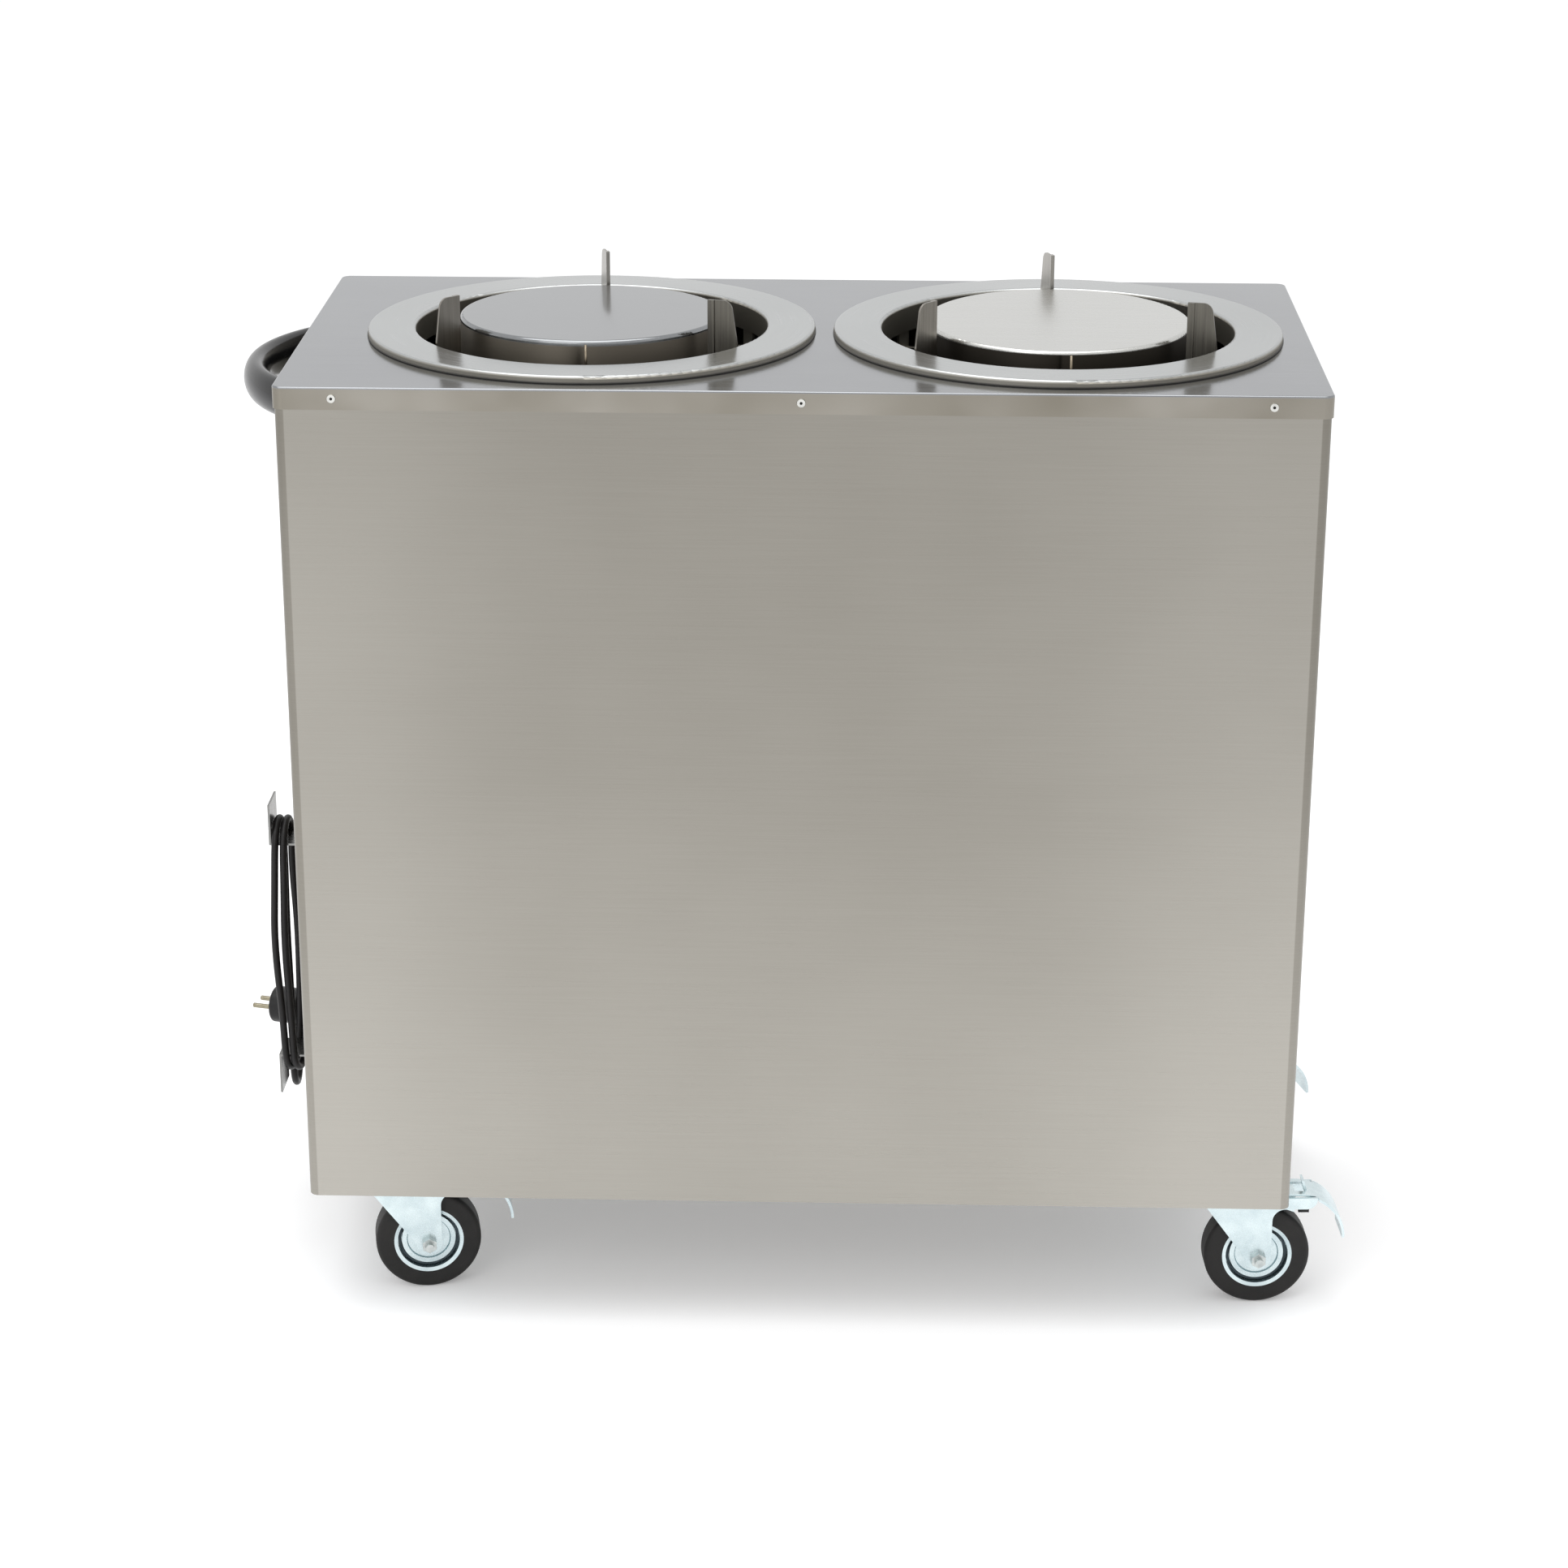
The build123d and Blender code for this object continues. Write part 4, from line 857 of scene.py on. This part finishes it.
@dataclass
class Wells:
    """Rings, platforms, guides, springs and heaters."""

    spring_circle: float = 0.178
    spring_radius: float = 0.007
    spring_wire: float = 0.0009
    spring_top: float = 0.864
    spring_bottom: float = 0.7205
    spring_turns: float = 52.0
    first_spring: float = radians(30)
    skirt_radius: float = 0.120
    skirt_deep: float = 0.035
    seam_width: float = 0.0022
    seam_proud: float = 0.0005
    seam_short: float = 0.005  # how much shorter than the skirt it is
    seam_drop: float = 0.001  # how much lower its middle lies
    # A dark bead under each ring's edge: a painted shadow.
    shadow_bead_radius: float = 0.2033
    shadow_bead_size: float = 0.0009
    shadow_bead_height: float = 0.9006
    seam_angles: tuple[float, float] = (radians(-88.4), radians(-86.6))
    tops: tuple[float, float] = (0.917, 0.914)
    tilts: tuple[float, float] = (radians(-0.6), radians(0.75))

    def springs(self, steel: bpy.types.Material) -> None:
        """Wind the three extension springs of each well.

        Args:
            steel: Their material.
        """
        growth = Growth("extension_springs")
        coil = growth.size("Coil radius", self.spring_radius - self.spring_wire)
        wire = growth.size("Wire radius", self.spring_wire)
        length = growth.size("Length", self.spring_top - self.spring_bottom)
        turns = growth.size("Turns", self.spring_turns)
        circle = growth.size("Circle radius", self.spring_circle)
        helix = growth.add(
            "GeometryNodeCurveSpiral",
            Resolution=16,
            Rotations=turns,
            Start_Radius=coil,
            End_Radius=coil,
            Height=length,
        )
        section = growth.add("GeometryNodeCurvePrimitiveCircle", Resolution=6, Radius=wire)
        wound = growth.add(
            "GeometryNodeCurveToMesh", Curve=helix, Profile_Curve=section, Fill_Caps=True
        )
        spots = growth.add("GeometryNodeMeshCircle", Vertices=3, Radius=circle)
        placed = growth.add("GeometryNodeInstanceOnPoints", Points=spots, Instance=wound)
        growth.grow(placed, steel)
        for side, x in WELLS.items():
            place = Matrix.Translation((x, 0, self.spring_bottom)) @ Matrix.Rotation(
                self.first_spring, 4, "Z"
            )
            piece = growth.piece(f"spring_set_{side}", place)
            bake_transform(piece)
            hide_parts(f"springs_{side}")

    def skirt_seams(self, steel: bpy.types.Material) -> None:
        """Lapped seam up the front of each platform's skirt.

        Args:
            steel: Their material.
        """
        rows = zip(WELLS.items(), self.seam_angles, self.tops, self.tilts)
        for (side, x), angle, top, tilt in rows:
            growth = Growth(f"skirt_seam_{side}")
            wide = growth.size("Width", self.seam_width)
            proud = growth.size("Proud", self.seam_proud)
            deep = growth.size("Height", self.skirt_deep - self.seam_short)
            size = growth.add("ShaderNodeCombineXYZ", X=proud, Y=wide, Z=deep)
            strip = growth.add("GeometryNodeMeshCube", Size=size)
            growth.grow(strip, steel)
            place = (
                Matrix.Translation((x, 0, top))
                @ Matrix.Rotation(tilt, 4, "X")
                @ Matrix.Rotation(angle, 4, "Z")
                @ Matrix.Translation(
                    (self.skirt_radius, 0, -self.skirt_deep / 2 - self.seam_drop)
                )
            )
            piece = growth.piece(f"skirt_seam_{side}", place)
            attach(piece, f"lift_{side}")

    def ring_joints(self, shadow_paint: bpy.types.Material) -> None:
        """Dark bead under the outer edge of each ring: a painted shadow line under its rolled edge.

        Args:
            shadow_paint: Their material.
        """
        growth = Growth("ring_joints")
        reach = growth.size("Radius", self.shadow_bead_radius)
        bead = growth.size("Bead", self.shadow_bead_size)
        hoop = growth.add("GeometryNodeCurvePrimitiveCircle", Resolution=180, Radius=reach)
        section = growth.add("GeometryNodeCurvePrimitiveCircle", Resolution=8, Radius=bead)
        swept = growth.add("GeometryNodeCurveToMesh", Curve=hoop, Profile_Curve=section)
        growth.grow(swept, shadow_paint)
        for side, x in WELLS.items():
            spot = Vector((x, 0, self.shadow_bead_height))
            piece = growth.piece(f"ring_joint_{side}", Matrix.Translation(spot))
            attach(piece, "root")

    def build(self) -> None:
        """Dress the wells and wind their springs."""
        for side, x in WELLS.items():
            # Spun stainless ring: fine circles round the well, the brightest sheet of the cart.
            ring = BrushedSteel(
                f"spun_stainless_{side}",
                "b7b9b9",
                "a8aaaa",
                Grain.ROUND,
                roughness=0.24,
                # Painted shade: the rolled edge and the collar below the top face are darker, and
                # rougher.
                shade_below=0.9063,
                shade_colour="98958d",
                shade_dark="8a867d",
                side_roughness=0.5,
                side_blend_mm=1.6,
                centre=(x, 0.0),
            ).material()
            dress(f"ring_{side}", ring)
        # Polished disc on the left: mirrors the guide behind it. The right one is brushed.
        polished = BrushedSteel(
            "stainless_polished_disc",
            "8d8f91",
            "848688",
            Grain.LENGTHWISE,
            roughness=0.14,
            line_depth_mm=0.001,
            # Painted shade: the skirt under the rim is darker.
            shade_below=0.9138,
            shade_colour="787268",
            shade_dark="655f56",
            side_roughness=0.46,
        ).material()
        brushed = BrushedSteel(
            "stainless_brushed_disc",
            "c8c8c5",
            "bebebb",
            Grain.LENGTHWISE,
            roughness=0.27,
            line_depth_mm=0.0015,
            # Painted shade: the skirt under the rim is much darker.
            shade_below=0.9100,
            shade_colour="45413b",
            shade_dark="393530",
            side_roughness=0.46,
        ).material()
        dress("platform_left", polished)
        dress("platform_right", brushed)
        # Guides of bent sheet with the mill skin left on, drawn up and down, in three tones
        # of painted light and shade: the back ones lightest, the front right ones darkest.
        for place, light, dark in (
            ("back", "b3b0aa", "96938e"),
            ("front_left", "9a968f", "7c7872"),
            ("front_right", "76736b", "5c5954"),
        ):
            blade = BrushedSteel(
                f"stainless_guide_{place}", light, dark, Grain.UPRIGHT, roughness=0.3
            ).material()
            for side in WELLS:
                dress(f"guide_{side}_{place}", blade)
        # Mill finish, out of reach of any polishing: dull and cloudy.
        mill = MottledMetal("stainless_mill_inner", "8a8781", "6d6a65", 0.4, 45.0).material()
        for name in ("carriage_left", "carriage_right", "cage_bases"):
            dress(name, mill)
        # Ground bars that the bushes run on.
        dress("slide_rods", MottledMetal("ground_bar", "c2c4c6", "adafb1", 0.18, 12.0).material())
        # Sheathed heating element: nickel alloy, straw to blue from heat.
        dress(
            "heating_elements",
            MottledMetal("heat_tinted_sheath", "8a7a62", "4d5260", 0.38, 22.0).material(),
        )
        # Patented drawn spring wire: dark grey, a little oily.
        self.springs(MottledMetal("drawn_spring_wire", "7d7c7b", "565554", 0.32, 8.0).material())
        # Steel of the lapped seam, a little tarnished by the weld beside it.
        self.skirt_seams(MottledMetal("seam_steel", "9a8f7e", "83796a", 0.4, 9.0).material())
        # Painted shadow under the rings' rolled edges: grey-black and dull.
        self.ring_joints(Moulding("dark_sealant", "3c3a36", "2e2c29", 0.6).material())


# ---------------------------------------------------------------- handle and hooks


@dataclass
class HandleAndHooks:
    """Push handle, its screws and the cord hooks."""

    def build(self) -> None:
        """Dress the handle and the hooks."""
        # Glossy black ABS, injection moulded.
        grip = Moulding(
            "black_abs_gloss", "151517", "0f0f10", 0.19, skin_depth_mm=0.003
        ).material()
        dress("push_handle", grip)
        # Zinc-plated screw heads: bright and cool.
        zinc = MottledMetal("zinc_screws", "d9dede", "c5cdcd", 0.25, 6.0).material()
        dress("handle_screws", zinc)
        # Stainless strip cut from brushed sheet: pale, its lines run up and down.
        hook = BrushedSteel(
            "stainless_hook_strip", "8e8e8c", "7f7f7d", Grain.UPRIGHT, roughness=0.26
        ).material()
        dress("cord_hooks", hook)


# ---------------------------------------------------------------- mains cord


@dataclass
class MainsCord:
    """Mains cord wound on the hooks, with its gland, boot and plug."""

    diameter: float = 0.007
    length: float = 1.40
    far_side: float = 0.025932
    corner: float = 0.010741  # half side of the eight-sided turn that the cord rounds off
    low_centre: float = 0.1875
    high_centre: float = 0.3925
    lane: tuple[float, ...] = (-0.4895, -0.4975, -0.5055)
    exit: tuple[float, float, float] = (-0.4726, 0.060, 0.306)
    lead_bends: tuple[tuple[float, float, float], ...] = (
        (-0.4726, 0.0600, 0.286),
        (-0.4760, 0.0525, 0.263),
        (-0.4845, 0.0380, 0.241),
    )
    join_heights: tuple[float, ...] = (0.219, 0.1995)  # where the lead meets the first strand
    tail_bends: tuple[tuple[float, float, float], ...] = (
        (-0.5055, 0.025932, 0.190),
        (-0.5065, 0.027432, 0.162),
        (-0.5060, 0.025932, 0.133),
        (-0.5065, 0.0485, 0.118),
        (-0.5075, 0.0720, 0.132),
    )
    mouth: tuple[float, float, float] = (-0.5075, 0.072, 0.152)
    # How far the cord leans to the next lane as it comes up to the low hook and under it.
    lean: tuple[float, float] = (0.001, 0.003)
    # How far each near strand bows away from the cabinet: low, middle, high.
    near_bow: tuple[tuple[float, ...], ...] = ((0.000, -0.003, -0.001), (0.000, -0.005, -0.002))
    far_bow: tuple[tuple[float, ...], ...] = ((-0.001, 0.002, 0.001), (0.000, -0.001, 0.000))
    strand_heights: tuple[float, ...] = (0.225, 0.300, 0.360)
    boot_long: float = 0.022
    boot_radii: tuple[float, float] = (0.0066, 0.0046)  # top and bottom
    boot_overlap: float = 0.003  # how far it reaches into the gland
    ribs: int = 6
    rib_radius: float = 0.0052
    rib_thick: float = 0.0011
    rib_step: float = 0.0038
    rib_growth: float = 0.09  # how much wider each rib is than the one below it
    rib_start: float = 0.003  # from the plug's mouth to the first rib

    def turn(self, number: int) -> list[tuple[float, float, float]]:
        """Control points of one turn of the winding.

        Args:
            number: 0 for the first turn, 1 for the second.

        Returns:
            Four points round each hook and three up or down each strand.
        """
        start, near = self.lane[number], self.lane[number + 1]
        side, corner = self.far_side, self.corner
        low, high = self.low_centre, self.high_centre
        little, more = self.lean
        under = [
            (start - little, side, low - corner),
            (start - more, corner, low - side),
            (near + more, -corner, low - side),
            (near + little, -side, low - corner),
        ]
        up = [
            (near + bow, -side, height)
            for bow, height in zip(self.near_bow[number], self.strand_heights)
        ]
        over = [
            (near, -side, high + corner),
            (near, -corner, high + side),
            (near, corner, high + side),
            (near, side, high + corner),
        ]
        down = [
            (near + bow, side, height)
            for bow, height in zip(self.far_bow[number], reversed(self.strand_heights))
        ]
        return under + up + over + down

    def route(self) -> list[tuple[float, float, float]]:
        """Control points of the cord.

        Returns:
            The points, from the gland to the plug.
        """
        join = [(self.lane[0], self.far_side, height) for height in self.join_heights]
        lead = [self.exit, *self.lead_bends, *join]
        return lead + self.turn(0) + self.turn(1) + [*self.tail_bends, self.mouth]

    def cord(self, rubber: bpy.types.Material) -> bpy.types.Object:
        """Lay the cord as one smooth curve.

        Args:
            rubber: Its material.

        Returns:
            The cord.
        """
        points = self.route()
        data = bpy.data.curves.new("mains_cord", "CURVE")
        data.dimensions = "3D"
        data.bevel_depth = self.diameter / 2
        data.bevel_resolution = 4
        data.resolution_u = 12
        data.use_fill_caps = True
        spline = data.splines.new("NURBS")
        spline.points.add(len(points) - 1)
        for point, place in zip(spline.points, points):
            point.co = (*place, 1.0)
        spline.order_u = 3
        spline.use_endpoint_u = True
        data.materials.append(rubber)
        piece = link_object("mains_cord", data)
        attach(piece, "root")
        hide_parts("cord_lead", "cord_winding", "cord_tail")
        return piece

    def boot(self, rubber: bpy.types.Material) -> bpy.types.Object:
        """Tapered boot where the cord leaves the gland.

        Args:
            rubber: Its material.

        Returns:
            The boot.
        """
        growth = Growth("gland_boot")
        top = growth.size("Top radius", self.boot_radii[0])
        bottom = growth.size("Bottom radius", self.boot_radii[1])
        long = growth.size("Length", self.boot_long)
        cone = growth.add(
            "GeometryNodeMeshCone", Vertices=32, Radius_Top=top, Radius_Bottom=bottom, Depth=long
        )
        growth.grow(cone, rubber)
        place = Vector(self.exit) - Vector((0, 0, self.boot_long - self.boot_overlap))
        piece = growth.piece("gland_boot", Matrix.Translation(place))
        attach(piece, "root")
        return piece

    def relief_rings(self, rubber: bpy.types.Material) -> bpy.types.Object:
        """Ribs round the strain relief of the plug.

        Args:
            rubber: Their material.

        Returns:
            The ribs.
        """
        growth = Growth("relief_rings")
        count = growth.size("Count", self.ribs)
        thick = growth.size("Thickness", self.rib_thick)
        reach = growth.size("Radius", self.rib_radius)
        section = growth.add("GeometryNodeCurvePrimitiveCircle", Resolution=8, Radius=thick)
        hoop = growth.add("GeometryNodeCurvePrimitiveCircle", Resolution=32, Radius=reach)
        rib = growth.add("GeometryNodeCurveToMesh", Curve=hoop, Profile_Curve=section)
        step = growth.size("Step", (0.0, 0.0, self.rib_step))
        more = growth.size("Growth", self.rib_growth)
        row = growth.add("GeometryNodeMeshLine", Count=count, Offset=step)
        index = growth.add("GeometryNodeInputIndex")
        grown = growth.add(
            "ShaderNodeMath", {"operation": "MULTIPLY_ADD"}, _0=index, _1=more, _2=1.0
        )
        placed = growth.add("GeometryNodeInstanceOnPoints", Points=row, Instance=rib, Scale=grown)
        growth.grow(placed, rubber)
        place = Matrix.Translation(Vector(self.mouth) + Vector((0, 0, self.rib_start)))
        piece = growth.piece("plug_relief_rings", place)
        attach(piece, "root")
        return piece

    def build(self) -> None:
        """Lay the cord and dress what is on it."""
        # Extruded rubber sheath: near black, dull, with a faint bloom.
        rubber = Moulding(
            "cord_rubber_sheath", "191718", "111010", 0.42, skin_mm=1.5, index=1.38
        ).material()
        # Moulded rubber plug: a little glossier than the cord.
        plug_rubber = Moulding(
            "plug_moulded_rubber", "141415", "0e0e0f", 0.38, index=1.4
        ).material()
        dress("plug_body", plug_rubber)
        # Moulded nylon: black and slightly dull.
        dress("cord_gland", Moulding("black_nylon", "1a1a1b", "121213", 0.45).material())
        # Nickel-plated brass pins: pale, slightly warm.
        nickel = MottledMetal("nickel_on_brass", "9e9885", "8e8774", 0.22, 5.0).material()
        dress("plug_pins", nickel)
        cord = self.cord(rubber)
        boot = self.boot(rubber)
        rings = self.relief_rings(plug_rubber)


# ---------------------------------------------------------------- controls


@dataclass
class Controls:
    """Thermostat, its dial and the mains switch, on the left side panel."""

    panel_x: float = -0.4546
    height: float = 0.700
    knob_y: float = 0.036
    switch_y: float = -0.036
    dial_radius: float = 0.0265
    tick_long: float = 0.003
    tick_wide: float = 0.0006
    ticks: int = 11
    dial_start: float = radians(225)
    dial_span: float = radians(270)
    print_thick: float = 0.00015
    figure_size: float = 0.0055
    figure_gap: float = 0.6  # from a stroke to its figure's middle, in figure sizes
    figures: tuple[str, ...] = ("0", "2", "4", "6", "8", "10")
    switch_marks: tuple[tuple[str, str, float], ...] = (("on", "I", 0.0205), ("off", "O", -0.0205))

    def face(self, y: float) -> Matrix:
        """Place on the panel that looks out along -X, with its own Y up."""
        turn = Matrix(((0, 0, -1), (-1, 0, 0), (0, 1, 0))).to_4x4()
        return Matrix.Translation((self.panel_x, y, self.height)) @ turn

    def dial_ticks(self, ink: bpy.types.Material) -> None:
        """Printed strokes round the knob.

        Args:
            ink: Their material.
        """
        growth = Growth("dial_ticks")
        count = growth.size("Count", self.ticks)
        reach = growth.size("Radius", self.dial_radius)
        start = growth.size("Start", self.dial_start)
        span = growth.size("Span", self.dial_span)
        stroke_size = growth.size("Stroke", (self.tick_long, self.tick_wide, self.print_thick))
        stroke = growth.add("GeometryNodeMeshCube", Size=stroke_size)
        row = growth.add("GeometryNodeMeshLine", Count=count, Offset=(0, 0, 0))
        index = growth.add("GeometryNodeInputIndex")
        steps = growth.add("ShaderNodeMath", {"operation": "SUBTRACT"}, _0=count, _1=1.0)
        share = growth.add("ShaderNodeMath", {"operation": "DIVIDE"}, _0=index, _1=steps)
        swept = growth.add("ShaderNodeMath", {"operation": "MULTIPLY"}, _0=share, _1=span)
        angle = growth.add("ShaderNodeMath", {"operation": "SUBTRACT"}, _0=start, _1=swept)
        across = growth.add("ShaderNodeMath", {"operation": "COSINE"}, _0=angle)
        above = growth.add("ShaderNodeMath", {"operation": "SINE"}, _0=angle)
        way = growth.add("ShaderNodeCombineXYZ", X=across, Y=above)
        spot = growth.add("ShaderNodeVectorMath", {"operation": "SCALE"}, _0=way, Scale=reach)
        spread = growth.add("GeometryNodeSetPosition", Geometry=row, Position=spot)
        turn = growth.add("ShaderNodeCombineXYZ", Z=angle)
        placed = growth.add(
            "GeometryNodeInstanceOnPoints", Points=spread, Instance=stroke, Rotation=turn
        )
        growth.grow(placed, ink)
        piece = growth.piece("dial_ticks", self.face(self.knob_y))
        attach(piece, "root")

    def figure(
        self, name: str, words: str, spot: Vector, place: Matrix, ink: bpy.types.Material
    ) -> None:
        """Print one figure flat on a face.

        Args:
            name: The piece's name.
            words: What it says.
            spot: The middle of the figure on the face.
            place: The face.
            ink: Its material.
        """
        data = bpy.data.curves.new(name, "FONT")
        data.body = words
        data.size = self.figure_size
        data.extrude = self.print_thick
        data.align_x = "CENTER"
        data.align_y = "CENTER"
        text = link_object(f"{name}_text", data)
        bpy.context.view_layer.update()
        mesh = bpy.data.meshes.new_from_object(text)
        bpy.data.objects.remove(text)
        mesh.transform(place @ Matrix.Translation(spot))
        mesh.materials.clear()
        mesh.materials.append(ink)
        piece = link_object(name, mesh)
        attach(piece, "root")

    def build(self) -> None:
        """Dress the controls and print the dial."""
        # Compression-moulded phenolic: black with an even satin shine.
        black = Moulding("black_phenolic", "19191a", "111112", 0.38).material()
        dress("thermostat_body", black)
        dress("thermostat_knob", black)
        dress("switch_housing", black)
        # Tinted polycarbonate rocker over a lamp.
        dress(
            "switch_rocker",
            Moulding("green_polycarbonate", "1f8f4a", "17753c", 0.2, gloss_coat=0.5).material(),
        )
        # Screen-printed black ink.
        ink = Moulding("black_ink", "202020", "161616", 0.5).material()
        self.dial_ticks(ink)
        steps = len(self.figures) - 1
        for number, words in enumerate(self.figures):
            angle = self.dial_start - self.dial_span * number / steps
            reach = self.dial_radius + self.tick_long + self.figure_size * self.figure_gap
            spot = Vector((cos(angle) * reach, sin(angle) * reach, 0))
            self.figure(f"dial_figure_{words}", words, spot, self.face(self.knob_y), ink)
        for name, words, above in self.switch_marks:
            spot = Vector((0, above, 0))
            self.figure(f"switch_figure_{name}", words, spot, self.face(self.switch_y), ink)


# ---------------------------------------------------------------- casters


@dataclass
class Casters:
    """Four braked swivel casters."""

    axle_height: float = 0.05
    arm_middle: float = 0.019  # wheel's middle to the middle of a fork arm
    buffer_reach: float = 0.041
    buffer_height: float = 0.0995
    buffer_size: tuple[float, float, float] = (0.010, 0.003, 0.003)
    groove_radius: float = 0.0275
    groove_size: tuple[float, float] = (0.0036, 0.0026)  # across the face and up the radius
    groove_depth: float = 0.0062  # wheel's middle to the middle of the painted shade ring

    def at_axle(self, place: str, height: float) -> Matrix:
        """Find a spot over or at a caster's axle, turned as the caster stands.

        Args:
            place: Which caster.
            height: The spot's height above the floor.

        Returns:
            The spot.
        """
        return (
            Matrix.Translation((*CASTERS[place], height))
            @ Matrix.Rotation(radians(CASTER_TURNS[place]), 4, "Z")
            @ Matrix.Translation((TRAIL, 0, 0))
        )

    def groove_linings(self, groove_shade: bpy.types.Material) -> None:
        """Dark ring in the round groove of both faces of each wheel's rim: painted shade of the
        recess.

        Args:
            groove_shade: Its material.
        """
        growth = Growth("groove_linings")
        reach = growth.size("Radius", self.groove_radius)
        wide = growth.size("Across", self.groove_size[0])
        high = growth.size("High", self.groove_size[1])
        hoop = growth.add("GeometryNodeCurvePrimitiveCircle", Resolution=72, Radius=reach)
        section = growth.add("GeometryNodeCurvePrimitiveQuadrilateral", Width=high, Height=wide)
        swept = growth.add("GeometryNodeCurveToMesh", Curve=hoop, Profile_Curve=section)
        apart = growth.size("Apart", (0.0, 0.0, 2 * self.groove_depth))
        pair = growth.add("GeometryNodeMeshLine", Count=2, Offset=apart)
        placed = growth.add("GeometryNodeInstanceOnPoints", Points=pair, Instance=swept)
        growth.grow(placed, groove_shade)
        for place in CASTERS:
            spot = (
                self.at_axle(place, self.axle_height)
                @ Matrix.Rotation(radians(90), 4, "X")
                @ Matrix.Translation((0, 0, -self.groove_depth))
            )
            piece = growth.piece(f"groove_linings_{place}", spot)
            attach(piece, f"wheel_{place}")

    def buffers(self, rubber: bpy.types.Material) -> None:
        """Small rubber stops under the two arms of each fork.

        Args:
            rubber: Their material.
        """
        growth = Growth("fork_buffers")
        size = growth.size("Size", self.buffer_size)
        block = growth.add("GeometryNodeMeshCube", Size=size)
        apart = growth.size("Apart", (0.0, 2 * self.arm_middle, 0.0))
        row = growth.add("GeometryNodeMeshLine", Count=2, Offset=apart)
        placed = growth.add("GeometryNodeInstanceOnPoints", Points=row, Instance=block)
        growth.grow(placed, rubber)
        for place in CASTERS:
            spot = self.at_axle(place, self.buffer_height) @ Matrix.Translation(
                (self.buffer_reach, -self.arm_middle, 0)
            )
            piece = growth.piece(f"fork_buffers_{place}", spot)
            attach(piece, f"swivel_{place}")

    def build(self) -> None:
        """Dress the casters."""
        # Pressed steel, bright zinc plated and blue passivated: pale with cool patches.
        zinc = MottledMetal(
            "blue_passivated_zinc", "dae7e9", "c3d2d6", 0.28, 24.0, pit_depth_mm=0.003
        ).material()
        # Turned steel bolts and nuts, zinc plated: greyer than the pressings.
        bolt = MottledMetal(
            "zinc_plated_bolts", "cfd4d2", "b2b8b8", 0.34, 6.0, pit_depth_mm=0.004
        ).material()
        # Solid black rubber tyre: dull, dusty brown-black.
        tyre = Moulding(
            "solid_rubber_tyre", "1d1b1a", "141312", 0.58, patch_mm=22.0, index=1.42
        ).material()
        dress("caster_plates", zinc)
        dress("caster_bolts", bolt)
        for place in CASTERS:
            dress(f"caster_fork_{place}", zinc)
            dress(f"wheel_axle_{place}", bolt)
            dress(f"brake_pedal_{place}", zinc)
            dress(f"wheel_rim_{place}", zinc)
            dress(f"wheel_tyre_{place}", tyre)
        self.buffers(tyre)
        # Painted shade in the rims' grooves: dull and dark blue-grey.
        groove_shade = Moulding("greasy_dirt", "3f4d54", "2f3a40", 0.6, skin_mm=0.6).material()
        self.groove_linings(groove_shade)


def main() -> None:
    """Build the looks, one sub-assembly after another."""
    logging.basicConfig(level=logging.INFO, format="%(name)s: %(message)s")
    groups = (
        Studio(), MainsCord(), Cabinet(), Wells(), HandleAndHooks(), Controls(), Casters()
    )
    for group in groups:
        before = set(bpy.data.objects.keys())
        group.build()
        for name in sorted(set(bpy.data.objects.keys()) - before):
            log.info("%s: %s", type(group).__name__, name)


if __name__ == "__main__":
    main()
